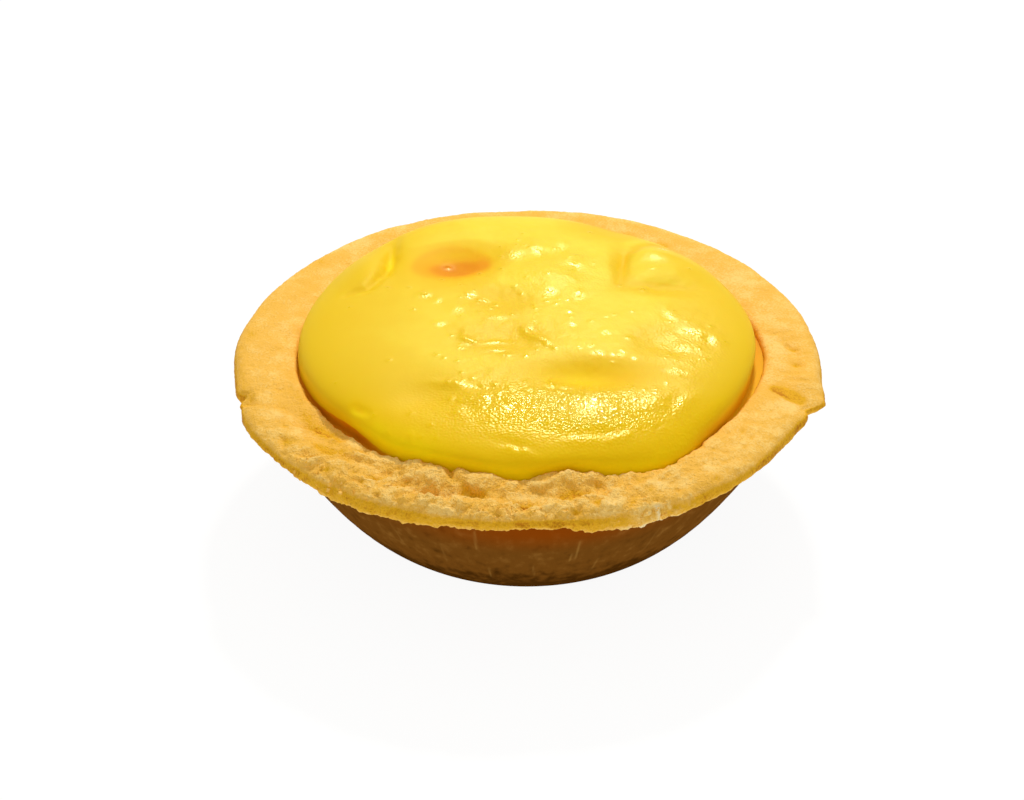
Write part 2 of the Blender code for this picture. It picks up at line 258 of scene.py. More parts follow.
# Broad patches of deeper colour on the rim's top: (angle, radius, amount, half width in degrees, half width).
RIM_TONES = (
    # Those from 197 to 223 degrees, on the low terrace at the left and its inner edge, are painted shade.
    (223.0, 35.2, 0.22, 6.0, 1.3),
    (215.0, 32.6, 0.26, 10.0, 1.3),
    (197.0, 32.0, 0.14, 9.0, 1.2),
    (246.0, 35.0, -0.07, 10.0, 2.5),
    (204.0, 34.4, 0.10, 4.0, 1.5),
    (190.0, 38.6, 0.12, 14.0, 1.4),
    (170.0, 36.0, 0.05, 30.0, 3.0),
    (73.0, 34.4, 0.30, 2.4, 0.7),
    (65.0, 34.8, 0.26, 2.0, 0.7),
    (56.0, 34.8, 0.24, 2.6, 1.0),
    (296.6, 39.5, -0.20, 2.2, 1.2),
    (100.0, 37.0, 0.06, 30.0, 1.5),
    (300.0, 38.6, 0.10, 12.0, 0.8),
)
# Even stains with clear edges on the rim's top: course as (angle, radius) points, how brown, half width.
RIM_STAINS = (
    (((344.4, 34.6), (343.6, 36.2), (342.4, 37.9)), 0.34, 1.10),
    (((342.8, 35.2), (341.2, 37.0)), 0.14, 0.45),
)
# How wide a ledge's step is, and how far its height and the shade below it reach.
LEDGE_SLOPE = 0.22
LEDGE_REACH = 1.5
LEDGE_SHADE_REACH = 0.6

# The pastry is roughest round here, and flakes of dough stand out on its outer edge here.
ROUGHEST_ANGLE = 262.0
ROUGH_SPREAD = 48.0
FLAKY_ANGLE = 294.0
PIT_SEED = 7
PIT_COUNT = 190
PIT_SPREAD = 42.0
PIT_DEEPEST = 0.45
CRUMB_SEED = 23
# Where crumbs stick to the rim: (how many, angle, spread, lowest and highest share of the way from the
# rim's underside over its top, smallest and largest size, how brown the palest is).
CRUMB_HEAPS = (
    (24, 262.0, 14.0, 0.36, 0.60, 0.14, 0.26, 0.30),
    (40, 294.0, 3.4, 0.12, 0.30, 0.12, 0.22, 0.26),
    (30, 228.0, 5.0, 0.24, 0.40, 0.16, 0.30, 0.32),
    (24, 267.0, 5.0, 0.30, 0.44, 0.16, 0.30, 0.30),
)

BUMP_OUTLINE = ((17.7, 20.4), (15.9, 19.0), (13.9, 16.5), (13.1, 13.1), (12.8, 8.5))
# Folds in the custard's skin: course as (x, y) points, height (a crease is below 0), half width.
CUSTARD_FOLDS = (
    (((-8.4, -3.6), (-8.3, -5.6), (-6.6, -6.7)), 0.20, 0.60),
    (((-6.2, -6.7), (-3.6, -6.0), (-1.2, -6.2)), 0.12, 0.50),
    (((-0.6, -3.2), (1.8, -5.8), (3.8, -7.8)), 0.20, 0.60),
    (((-18.6, 23.0), (-18.9, 17.0), (-19.6, 12.0), (-21.4, 8.0), (-24.4, 6.8)), -0.65, 0.85),
    (BUMP_OUTLINE, -0.26, 0.80),
    (((-22.6, -17.6), (-21.8, -18.7), (-20.6, -19.7)), -0.30, 0.50),
)
# Patches where the skin lies tilted and catches the light: (x, y, half length, half width, turn, how much
# of the way it is tilted, how rippled, how wet).
CUSTARD_GLOSSES = (
    (8.5, -20.1, 2.2, 1.8, 0.0, 1.0, 0.40, 1.0),
    (19.8, -18.5, 2.6, 1.2, 50.0, 1.0, 0.60, 1.0),
    (15.3, -18.9, 2.0, 0.8, 8.0, 1.0, 0.55, 0.9),
    (6.6, -26.1, 2.2, 1.0, 0.0, 1.0, 0.70, 1.0),
    (11.0, -25.4, 2.2, 1.0, 6.0, 1.0, 0.70, 0.9),
    (-1.0, -28.3, 2.6, 0.9, -20.0, 1.0, 0.45, 1.0),
    (-7.6, -16.3, 3.2, 0.7, -14.0, 1.0, 0.30, 0.9),
    (-5.4, -18.8, 2.3, 1.2, -30.0, 1.0, 0.32, 1.0),
    (-2.0, -21.0, 1.7, 1.0, -30.0, 1.0, 0.45, 1.0),
    (-8.0, -20.7, 0.9, 1.0, 0.0, 1.0, 0.5, 0.9),
    (3.6, -15.9, 0.7, 1.0, 0.0, 1.0, 0.3, 0.9),
    (5.4, -16.7, 1.1, 0.6, 0.0, 1.0, 0.3, 0.9),
    (19.4, 0.3, 2.2, 1.0, -58.0, 0.9, 0.45, 0.80),
    (22.0, -3.0, 2.8, 1.4, -10.0, 1.0, 0.40, 0.88),
    (24.8, -4.6, 1.2, 1.5, 0.0, 0.9, 0.35, 0.85),
    (20.8, -7.0, 1.8, 1.3, 0.0, 1.0, 0.45, 0.84),
    (19.8, -12.3, 2.4, 1.0, -8.0, 0.9, 0.60, 0.80),
    (-1.4, 15.5, 1.9, 2.1, 20.0, 0.9, 0.50, 0.75),
    (1.5, 16.8, 1.2, 2.4, 10.0, 1.0, 0.35, 0.80),
    (4.8, 17.9, 1.0, 1.9, 0.0, 0.9, 0.45, 0.72),
    (6.6, 12.4, 1.6, 2.6, 20.0, 1.0, 0.40, 0.80),
    (3.2, 5.4, 1.6, 1.5, 30.0, 1.0, 0.45, 0.85),
    (7.1, 4.6, 1.1, 1.6, 0.0, 1.0, 0.40, 0.85),
    (6.2, -2.5, 0.7, 0.9, 0.0, 1.0, 0.3, 0.85),
    (10.5, -4.3, 0.7, 0.8, 0.0, 1.0, 0.3, 0.85),
    (17.9, 15.0, 2.8, 2.2, 0.0, 1.0, 0.15, 0.60),
    (-7.1, -6.2, 1.7, 0.9, 50.0, 1.0, 0.40, 0.85),
    (0.6, -3.6, 0.9, 1.2, 0.0, 1.0, 0.45, 0.80),
    (2.4, -6.9, 1.8, 0.8, -48.0, 1.0, 0.45, 0.85),
    (-3.8, -8.3, 1.5, 0.6, 0.0, 1.0, 0.45, 0.80),
    (9.4, -9.0, 1.2, 0.8, 0.0, 1.0, 0.30, 0.90),
    (12.4, -9.4, 0.8, 0.6, 0.0, 1.0, 0.45, 0.80),
    (-7.4, 5.0, 1.0, 1.0, 0.0, 1.0, 0.30, 0.85),
    (-5.7, 3.8, 1.3, 0.7, -40.0, 1.0, 0.35, 0.85),
    (-13.6, 5.0, 1.2, 1.0, -20.0, 0.9, 0.45, 0.75),
    (-12.0, 3.6, 0.8, 1.1, 0.0, 0.9, 0.45, 0.75),
    (-9.1, 1.1, 1.0, 1.2, 0.0, 0.9, 0.45, 0.70),
    (-11.4, -2.3, 1.2, 0.7, 0.0, 1.0, 0.45, 0.80),
    (-3.8, -0.8, 2.2, 0.8, 0.0, 0.9, 0.50, 0.70),
)
# Small lumps where the skin has blistered: (x, y, half width).
CUSTARD_LUMPS = (
    (19.1, 18.3, 0.7),
    (15.9, 7.0, 0.6),
    (-10.9, 14.6, 0.7),
    (-13.7, 5.3, 0.5),
    (3.7, -8.1, 0.5),
    (-11.8, -9.5, 0.4),
    (13.5, -5.2, 0.6),
    (-8.0, -19.5, 0.5),
)
# Clusters of beads: (how many, x, y, spread along X, spread along Y, smallest, largest half width).
CUSTARD_BEADS = (
    (6, 1.5, 17.0, 3.0, 1.6, 0.32, 0.42),
    (6, 6.6, 12.6, 1.5, 2.6, 0.32, 0.42),
    (6, 5.4, 5.0, 2.2, 1.4, 0.32, 0.42),
    (6, -6.6, 4.4, 1.6, 1.0, 0.30, 0.42),
    (8, 22.0, -4.2, 2.4, 2.0, 0.32, 0.42),
    (4, -8.0, -6.0, 0.8, 1.2, 0.30, 0.42),
    (5, 10.8, -9.2, 2.0, 0.4, 0.30, 0.42),
    (14, -4.5, -19.0, 4.2, 2.0, 0.32, 0.46),
    (8, -14.6, -24.6, 2.0, 0.8, 0.30, 0.42),
    (110, 5.0, -20.0, 9.5, 3.4, 0.30, 0.46),
    (30, -2.0, -12.0, 9.0, 4.0, 0.30, 0.42),
    (40, 0.0, 6.0, 9.0, 7.0, 0.28, 0.40),
    (16, 19.0, -7.0, 4.0, 5.0, 0.30, 0.42),
)
BEAD_SEED = 31
BEAD_STEEPEST = 0.30
# Stains on the skin: course as (x, y) points, strength, half width.
# The first, along the bump's outline, is partly toasting and partly painted shade in its crease; the fifth,
# at the front left, is painted shade in a crease.
CUSTARD_STAINS = (
    (BUMP_OUTLINE, 0.14, 0.60),
    (((16.8, 21.6), (19.4, 20.6), (22.0, 19.0)), 0.24, 1.10),
    (((8.6, 28.0), (12.2, 26.8), (15.4, 25.0)), 0.26, 1.60),
    (((-16.6, 25.2), (-13.0, 27.0), (-9.4, 28.2)), 0.22, 1.70),
    (((-22.4, -17.9), (-20.8, -19.6)), 0.20, 0.45),
    (((-17.6, -23.4), (-14.6, -25.0)), 0.10, 0.45),
)
# Where the skin is dry and smooth: its big hollow at the front and its browned blister, as (x, y, half width
# along X, half width along Y).
DRY_PATCHES = (
    (8.6, -13.2, 7.6, 2.8),
    (-9.9, 14.6, 6.0, 4.0),
)
# Where the skin is finely beaded: across the front, in the middle, at the back and at the right. These and
# the next two tables are (x, y, strength, half width along X, half width along Y).
GLITTER_PATCHES = (
    (6.0, -21.0, 1.3, 15.5, 6.0),
    (1.0, -6.0, 0.30, 14.0, 8.0),
    (4.0, 12.0, 0.45, 8.0, 8.0),
    (21.0, -6.0, 0.5, 5.0, 7.0),
)
# Where the yellow is deeper, or paler in the dent at the front left.
DEEP_PATCHES = (
    (-16.0, -24.0, 0.16, 11.0, 6.0),
    (-13.0, -18.0, -0.34, 5.0, 3.4),
)
# Where the custard is lightly toasted below its blister, and painted shade in three of its hollows.
TOAST_AND_SHADE_PATCHES = (
    (-12.0, 12.8, 0.22, 3.6, 3.0),
    (11.5, -13.4, 0.16, 6.6, 2.9),
    (-2.4, -4.6, 0.07, 4.6, 2.6),
    (-13.0, -18.0, 0.05, 5.0, 3.2),
)
# The blister's middle and half width, and its darkest part as (x, y, half width along X, along Y).
BLISTER = (-10.4, 13.6)
BLISTER_HALF_WIDTH = 5.6
BLISTER_CORE = (-8.6, 13.8, 3.9, 2.4)
# Painted glints on fine upright wrinkles in the tin's wall as (angle, lowest and highest height, lean in
# degrees, strength).
TIN_GLINT_LINES = (
    (259.0, 13.0, 17.5, 0.3, 0.50),
    (260.5, 5.0, 8.0, 0.3, 0.35),
    (272.0, 6.0, 9.0, -0.4, 0.30),
    (281.3, 10.2, 15.0, 0.3, 0.55),
    (280.2, 9.8, 11.8, 0.2, 0.50),
    (287.0, 6.0, 9.5, 0.4, 0.30),
    (250.0, 8.0, 13.0, 0.6, 0.20),
    (240.0, 9.0, 15.0, -0.6, 0.20),
    (300.0, 8.0, 14.0, 0.6, 0.20),
)

# ---------------------------------------------------------------- shape helpers


def hump(distance, half_width):
    """Smooth bell of height 1, about a third at one half width."""
    return np.exp(-((distance / half_width) ** 2))


def turn_between(angle, other):
    """Shortest turn from one angle to the other, in degrees."""
    return (angle - other + 180.0) % 360.0 - 180.0


def wave(angle, waves):
    """Sum of the waves round the rim at these angles."""
    return sum(size * hump(turn_between(angle, place), width) for place, size, width in waves)


def plateau(angle, middle, half_width):
    """Bell round an angle with a flat top of height 1."""
    return np.clip(1.3 * hump(turn_between(angle, middle), half_width), 0.0, 1.0)


def patches(x, y, table):
    """Sum of round bells at (x, y); the table is (x, y, size, half width along X, half width along Y)."""
    total = np.zeros(x.shape)
    for middle_x, middle_y, size, half_x, half_y in table:
        total += size * hump(x - middle_x, half_x) * hump(y - middle_y, half_y)
    return total


def rim_patches(radius, angle, table):
    """Sum of bells on the rim; the table is (angle, radius, size, half width in degrees, half width)."""
    total = np.zeros(radius.shape)
    for place, middle, size, half_turn, half_width in table:
        total += size * hump(turn_between(angle, place), half_turn) * hump(radius - middle, half_width)
    return total


def smooth_step(value, low, high):
    """0 below low, 1 above high, eased between."""
    t = np.clip((value - low) / (high - low), 0.0, 1.0)
    return t * t * (3.0 - 2.0 * t)


def curved_wall(start, pull, end, steps):
    """Points of a quadratic curve from start to end, bent towards pull."""
    t = np.linspace(0.0, 1.0, steps + 1)[:, None]
    return (1.0 - t) ** 2 * np.array(start) + 2.0 * t * (1.0 - t) * np.array(pull) + t * t * np.array(end)


def inset(profile, distance):
    """The profile moved to its left by distance."""
    along = np.gradient(profile, axis=0)
    along /= np.linalg.norm(along, axis=1)[:, None]
    moved = profile + distance * np.stack([-along[:, 1], along[:, 0]], axis=1)
    moved[:, 0] = np.maximum(moved[:, 0], 0.0)
    return moved


def evenly_along(points, step):
    """Points about one step apart along the line through the given points."""
    length = np.concatenate([[0.0], np.cumsum(np.linalg.norm(np.diff(points, axis=0), axis=1))])
    places = np.linspace(0.0, length[-1], max(int(round(length[-1] / step)), 1) + 1)
    return np.stack([np.interp(places, length, points[:, i]) for i in range(points.shape[1])], axis=1)


def curve_through(corners, step):
    """Points about one step apart along a rounded curve through the corners."""
    corners = np.array(corners, float)
    ends = np.concatenate([[2.0 * corners[0] - corners[1]], corners, [2.0 * corners[-1] - corners[-2]]])
    t = np.linspace(0.0, 1.0, 17)[:-1, None]
    pieces = []
    for a, b, c, d in zip(ends, ends[1:], ends[2:], ends[3:]):
        bend = 2.0 * b + (c - a) * t + (2.0 * a - 5.0 * b + 4.0 * c - d) * t**2
        pieces.append((bend + (3.0 * b - a - 3.0 * c + d) * t**3) / 2.0)
    return evenly_along(np.concatenate(pieces + [corners[-1:]]), step)


def grain(points, size, seed):
    """Random field from about -1 to 1 over the points, its lumps about one size wide."""
    places = (points / size + 31.7 * seed).reshape(-1, 3).tolist()
    return np.array([noise.noise(place) for place in places]).reshape(points.shape[:-1])


def course_distance(x, y, course):
    """Distance of the points (x, y) from a line of straight stretches, and how far along it they lie."""
    course = np.array(course, float)
    lengths = np.linalg.norm(np.diff(course, axis=0), axis=1)
    best = np.full(x.shape, np.inf)
    share = np.zeros(x.shape)
    done = 0.0
    for start, end, length in zip(course, course[1:], lengths):
        step = (end - start) / length
        along = np.clip((x - start[0]) * step[0] + (y - start[1]) * step[1], 0.0, length)
        distance = np.hypot(x - start[0] - along * step[0], y - start[1] - along * step[1])
        nearer = distance < best
        best = np.where(nearer, distance, best)
        share = np.where(nearer, (done + along) / lengths.sum(), share)
        done += length
    return best, share


def signed_distance(x, y, course):
    """Distance from a course, above 0 on the side away from the axis, with its size and how far along."""
    course = np.array(course, float)
    distance, share = course_distance(x, y, course)
    lengths = np.concatenate([[0.0], np.cumsum(np.linalg.norm(np.diff(course, axis=0), axis=1))])
    lengths /= lengths[-1]
    foot_x = np.interp(share, lengths, course[:, 0])
    foot_y = np.interp(share, lengths, course[:, 1])
    ahead_x = np.interp(share + 0.02, lengths, course[:, 0]) - np.interp(share - 0.02, lengths, course[:, 0])
    ahead_y = np.interp(share + 0.02, lengths, course[:, 1]) - np.interp(share - 0.02, lengths, course[:, 1])
    side = (y - foot_y) * ahead_x - (x - foot_x) * ahead_y
    side /= np.maximum(np.hypot(ahead_x, ahead_y), 1e-6)
    return -side, distance, share


def crease(x, y, course, half_width):
    """Bell across a course, full in its middle and fading towards its two ends."""
    distance, share = course_distance(x, y, course)
    taper = 0.35 + 0.65 * np.sin(np.pi * np.clip(share, 0.02, 0.98)) ** 0.6
    return taper * hump(distance, half_width)


def polar_course(course):
    """The (angle, radius) points of a course as (x, y) points."""
    return [(r * math.cos(math.radians(a)), r * math.sin(math.radians(a))) for a, r in course]


def ring_points(radius, angle, height):
    """Points (ring, turn, xyz) from their radius, angle and height."""
    turn = np.radians(angle)
    height = np.broadcast_to(height, turn.shape)
    return np.stack([radius * np.cos(turn), radius * np.sin(turn), height], axis=-1)


def ring_normals(points):
    """Outward direction at every point of a ring grid."""
    up = np.gradient(points, axis=0)
    turned = np.roll(points, -1, axis=1) - np.roll(points, 1, axis=1)
    normals = np.cross(turned, up)
    return normals / np.maximum(np.linalg.norm(normals, axis=-1), 1e-9)[..., None]


def turn_angles():
    """The angles at which the skins are cut, in degrees."""
    return np.arange(TURNS) * 360.0 / TURNS


def lamp_direction(turn, rise):
    """Direction towards a lamp; turn is in degrees from straight behind the tart towards the right."""
    turn = math.radians(turn)
    rise = math.radians(rise)
    return Vector((math.sin(turn) * math.cos(rise), math.cos(turn) * math.cos(rise), math.sin(rise)))


def eye_place():
    """Where the camera stands, in millimetres."""
    rise = math.radians(VIEW_RISE)
    away = Vector((0.0, -math.cos(rise), math.sin(rise)))
    return away * VIEW_DISTANCE + Vector((0.0, 0.0, VIEW_HEIGHT))


# ---------------------------------------------------------------- meshes


def to_frame(points):
    """Points in millimetres round the tin's axis as metres in the frame."""
    return points * MM + np.array([AXIS.x, AXIS.y, STANDS_AT])


def add_object(name, data):
    """New object with this mesh, camera or lamp, linked to the scene."""
    item = bpy.data.objects.new(name, data)
    bpy.context.scene.collection.objects.link(item)
    return item


def add_mesh(name, points, faces, fields):
    """New object with this mesh, its fields kept as point attributes."""
    mesh = bpy.data.meshes.new(name)
    mesh.from_pydata(to_frame(points).tolist(), [], faces)
    for field, values in fields.items():
        attribute = mesh.attributes.new(field, "FLOAT", "POINT")
        attribute.data.foreach_set("value", np.ascontiguousarray(values, dtype=np.float32))
    mesh.update()
    mesh.shade_smooth()
    return add_object(name, mesh)


def turned_skin(name, rings, fields):
    """Closed mesh through rings listed from the axis underneath, round the outside, to the axis on top."""
    count, turns = rings.shape[:2]
    points = np.concatenate([rings.reshape(-1, 3), [rings[0].mean(0)], [rings[-1].mean(0)]])
    here = np.arange(count * turns).reshape(count, turns)
    beside = np.roll(here, -1, axis=1)
    walls = np.stack([here[:-1], beside[:-1], beside[1:], here[1:]], axis=-1).reshape(-1, 4).tolist()
    under = [(count * turns, b, a) for a, b in zip(here[0].tolist(), beside[0].tolist())]
    over = [(a, b, count * turns + 1) for a, b in zip(here[-1].tolist(), beside[-1].tolist())]
    kept = {}
    for field, values in fields.items():
        kept[field] = np.concatenate([values.reshape(-1), [values[0].mean(), values[-1].mean()]])
    return add_mesh(name, points, walls + under + over, kept)


# ---------------------------------------------------------------- tin


def tin_outside(steps):
    """Outside of the tin from near the middle of its base to the top of its wall."""
    base_edge = (TIN_BASE_RADIUS, 0.0)
    mouth = (TIN_MOUTH_RADIUS, TIN_WALL_HEIGHT)
    base = np.array([(0.4, 0.0), (8.0, 0.0), (16.0, 0.0), (TIN_BASE_RADIUS - 0.7, 0.0)])
    return np.concatenate([base, curved_wall(base_edge, TIN_WALL_PULL, mouth, steps)])


def tin_flutes(angle, height):
    """Depth of the faint pressed flutes in the tin's wall, which come and go round it."""
    places = ring_points(np.full_like(angle, 12.0), angle, 0.0)
    drift = 3.0 * grain(places, 6.0, 41)
    strength = 0.5 + 0.5 * np.clip(2.0 * grain(places, 4.0, 42), -1.0, 1.0)
    ribs = np.sin(np.radians(angle) * FLUTE_COUNT + drift)
    inside = smooth_step(height, 1.5, 6.0) * (1.0 - smooth_step(height, 18.4, 19.2))
    return FLUTE_DEPTH * strength * ribs * inside


def glint_lines(angle, height):
    """Thin upright painted glints, where fine wrinkles in the tin's wall would catch the light."""
    total = np.zeros(angle.shape)
    for place, low, high, lean, strength in TIN_GLINT_LINES:
        along = np.clip((height - low) / (high - low), 0.0, 1.0)
        begun = smooth_step(height, low - 0.4, low + 0.4)
        ended = smooth_step(height, high - 0.4, high + 0.4)
        line = hump(turn_between(angle, place + lean * along), GLINT_LINE_HALF_TURN)
        total += 0.6 * strength * begun * (1.0 - ended) * line
    return np.clip(total, 0.0, 1.0)


def make_tin():
    """The thin tin, its wall fluted and its lip turned out under the pastry."""
    outside = tin_outside(44)
    lip = [
        (TIN_LIP_RADIUS - 0.1, TIN_WALL_HEIGHT + 0.05),
        (TIN_LIP_RADIUS, TIN_WALL_HEIGHT + 0.25),
        (TIN_LIP_RADIUS - 0.1, TIN_HEIGHT - 0.05),
        (TIN_LIP_RADIUS - 0.5, TIN_HEIGHT),
        (TIN_LIP_RADIUS - 1.0, TIN_HEIGHT - 0.05),
    ]
    inside = inset(outside, TIN_WALL)[::-1]
    profile = np.concatenate([outside, np.array(lip), inside])
    angle, _ = np.meshgrid(turn_angles(), profile[:, 0])
    radius = np.repeat(profile[:, :1], TURNS, axis=1)
    height = np.repeat(profile[:, 1:], TURNS, axis=1)
    radius = radius + tin_flutes(angle, height)
    rings = ring_points(radius, angle, height)
    fields = {
        # Painted reflection: an orange glow, as of light from the pastry, on the tin just under the rim.
        "painted_glow": 0.9 * smooth_step(height, 12.0, 18.0) * hump(turn_between(angle, 274.0), 26.0),
        # Painted shade: the tin gets darker towards its bottom.
        "pale": 0.56 * smooth_step(height, 0.0, 10.0) - 0.05,
        # Painted highlight: thin upright glints on the tin's wall.
        "painted_glint": glint_lines(angle, height),
    }
    tin = turned_skin("brown_tin", rings, fields)
    tin.data.materials.append(tin_metal())
    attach(tin, "root")
    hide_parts("tart_tin")


# ---------------------------------------------------------------- pastry


def hole_shift(angle, height):
    """How far the wall of the recess stands out from its turned shape."""
    return wave(angle, HOLE_WAVES) * smooth_step(height, RECESS_MOUTH - 12.0, RECESS_MOUTH + 1.5)


def recess_wall(steps):
    """Wall of the recess that the custard fills, from the edge of its floor up to its mouth."""
    floor_edge = (RECESS_FLOOR_RADIUS, RECESS_FLOOR)
    return curved_wall(floor_edge, RECESS_WALL_PULL, (RECESS_MOUTH_RADIUS, RECESS_MOUTH), steps)


def crust_section():
    """Section of the pastry, and the two ring numbers between which its fine skin lies."""
    hidden = inset(tin_outside(12), TIN_WALL + GAP)
    shelf = np.array([(36.2, RIM_UNDERSIDE), (36.9, RIM_UNDERSIDE)])
    skirt = [
        (TIN_LIP_RADIUS + 0.45, RIM_UNDERSIDE - 0.05),
        (TIN_LIP_RADIUS + 0.9, RIM_LOW_EDGE + 0.1),
        (RIM_RADIUS - 1.0, RIM_LOW_EDGE),
        (RIM_RADIUS - 0.2, RIM_LOW_EDGE + 0.8),
        (RIM_RADIUS, RIM_LOW_EDGE + 1.5),
        (RIM_RADIUS - 0.5, RIM_TOP - 0.6),
        (RIM_RADIUS - 1.5, RIM_TOP - 0.1),
        (RIM_MIDDLE_RADIUS + 1.4, RIM_TOP),
    ]
    hole = [
        (RIM_MIDDLE_RADIUS - 0.4, RIM_TOP),
        (RIM_HOLE_RADIUS + 1.4, RIM_TOP),
        (RIM_HOLE_RADIUS + 0.4, RIM_TOP - 0.15),
        (RIM_HOLE_RADIUS, RIM_TOP - 0.7),
        (RIM_HOLE_RADIUS - 0.2, RIM_TOP - 1.5),
        (RECESS_MOUTH_RADIUS, RECESS_MOUTH),
    ]
    skin = curve_through(skirt + hole, SKIN_STEP)
    wall = recess_wall(9)[::-1][1:]
    floor = np.array([(9.0, RECESS_FLOOR), (0.4, RECESS_FLOOR)])
    first = len(hidden) + len(shelf)
    return np.concatenate([hidden, shelf, skin, wall, floor]), first, first + len(skin)


def crust_shape(section, angle, first):
    """Radius and height of the pastry's rings, pushed out of true as its solid is."""
    radius = np.repeat(section[:, :1], TURNS, axis=1)
    height = np.repeat(section[:, 1:], TURNS, axis=1)
    station = np.repeat(np.arange(len(section))[:, None], TURNS, axis=1)
    middle = first + int(np.argmax(section[first:, 1] > RIM_TOP - 0.05))
    while section[middle, 0] > RIM_MIDDLE_RADIUS:
        middle += 1
    skirt = (station >= first) & (station < middle)
    hole = station >= middle
    low = 1.0 - smooth_step(height, RIM_LOW_EDGE + 0.2, RIM_TOP)
    lifted = height + np.where(skirt, wave(angle, LOW_EDGE_WAVES) * low, 0.0)
    outward = wave(angle, OUTER_WAVES) * smooth_step(radius, RIM_MIDDLE_RADIUS, RIM_RADIUS - 1.0)
    outward += wave(angle, OUTER_NICKS) * smooth_step(radius, RIM_RADIUS - 2.2, RIM_RADIUS - 0.4)
    share = 1.0 - smooth_step(radius, RIM_HOLE_RADIUS, RIM_MIDDLE_RADIUS)
    beside_lip = np.maximum(radius + outward, TIN_LIP_RADIUS + 0.45)
    pushed = np.where(height < RIM_UNDERSIDE + 1.0, beside_lip, radius + outward)
    pushed = np.where(skirt, pushed, radius)
    pushed = np.where(hole, radius + hole_shift(angle, height) * share, pushed)
    top = smooth_step(height, RIM_TOP - 1.6, RIM_TOP - 0.1) * (station >= first)
    return pushed, lifted + top * rim_patches(pushed, angle, RIM_RELIEF)


def crumbliness(angle):
    """How rough the pastry is round the rim: most at the front, nearly smooth at the back."""
    front = hump(turn_between(angle, ROUGHEST_ANGLE), ROUGH_SPREAD)
    return np.clip(0.07 + 1.15 * front, 0.0, 1.0)


def ledges(x, y):
    """Steps at the edges of the layers of dough, up on their outer side, and the painted shade below them."""
    relief = np.zeros(x.shape)
    brown = np.zeros(x.shape)
    for line, height, shade in RIM_LEDGES:
        side, distance, share = signed_distance(x, y, polar_course(line))
        ends = smooth_step(share, 0.0, 0.16) * (1.0 - smooth_step(share, 0.84, 1.0))
        step = smooth_step(side, -LEDGE_SLOPE, LEDGE_SLOPE)
        relief += height * ends * (step - 0.5) * np.exp(-distance / LEDGE_REACH)
        brown += shade * ends * (1.0 - step) * np.exp(-distance / LEDGE_SHADE_REACH)
    return relief, brown


def rim_stains(x, y):
    """How brown the rim's clear-edged stains make it."""
    total = np.zeros(x.shape)
    for course, brownness, half_width in RIM_STAINS:
        distance, _ = course_distance(x, y, polar_course(course))
        total += brownness * hump((distance / half_width) ** 2, 1.0)
    return total


def small_pits(x, y, rough):
    """Scattered little pits and short cracks that run round the rim: depth, and how brown inside."""
    chance = np.random.default_rng(PIT_SEED)
    depth = np.zeros(x.shape)
    for _ in range(PIT_COUNT):
        angle = chance.normal(ROUGHEST_ANGLE, PIT_SPREAD)
        radius = chance.uniform(31.8, 39.4)
        reach = chance.uniform(0.2, 1.5)
        lean = chance.uniform(-0.5, 0.5)
        course = polar_course([(angle - 0.8 * reach, radius - lean), (angle + 0.8 * reach, radius + lean)])
        size = chance.uniform(0.18, 0.50)
        depth += chance.uniform(0.06, 0.26) * crease(x, y, course, size)
    return np.minimum(depth, PIT_DEEPEST) * (0.3 + 0.7 * rough)


def crust_fields(points, rest_height, radius, angle):
    """Fine relief of the pastry's skin along its outward direction, and how brown it is, painted shade
    included.
    """
    rough = crumbliness(angle)
    warp = 0.15 + 0.40 * rough
    x = points[..., 0] + warp * grain(points, 1.6, 5)
    y = points[..., 1] + warp * grain(points, 1.6, 6)
    top = smooth_step(rest_height, RIM_TOP - 1.7, RIM_TOP - 0.3)
    swell = (0.18 + 0.22 * rough) * grain(points, 6.0, 1)
    calm = 0.45 + 0.55 * top
    lumps = (0.04 + 0.85 * rough) * calm * (np.abs(grain(points, 3.1, 2)) - 0.24)
    even_lip = 0.4 + 0.6 * smooth_step(radius, 30.5, 33.0)
    crumbs = (0.03 + 0.42 * rough) * calm * even_lip * (np.abs(grain(points, 1.25, 3)) - 0.24)
    fine = (0.04 + 0.24 * rough) * grain(points, 0.55, 4)
    pits = small_pits(x, y, rough) * (0.25 + 0.75 * top)
    brown = 0.33 - 0.04 * rough + 0.08 * grain(points, 5.0, 8) + 0.08 * grain(points, 1.7, 9)
    # Painted shade and light: the pits are browner, partly as painted shade, and the raised lumps and crumbs
    # are paler, as painted light on them.
    brown += 0.5 * pits - 0.20 * np.clip(lumps, -0.2, 0.2) - 0.30 * np.clip(crumbs, -0.2, 0.2)
    brown = np.maximum(brown, 0.20)
    steps, shade = ledges(x, y)
    relief = swell + lumps + crumbs + fine - pits + top * steps
    brown += top * (shade + rim_patches(radius, angle, RIM_TONES) + rim_stains(x, y))
    scattered = np.clip(0.3 + 2.2 * grain(points, 0.7, 13), 0.0, 1.0) * smooth_step(radius, 36.5, 38.0)
    flakes = scattered * hump(turn_between(angle, FLAKY_ANGLE + 1.0), 4.5) * hump(rest_height - 20.9, 1.3)
    relief += 0.30 * flakes
    brown -= 0.36 * flakes
    # The creases are browner inside, partly browning and partly painted shade.
    for course, depth, half_width, brownness in RIM_CREASES:
        mark = crease(x, y, polar_course(course), half_width) * top
        relief -= depth * mark
        brown += brownness * mark
    return relief, brown


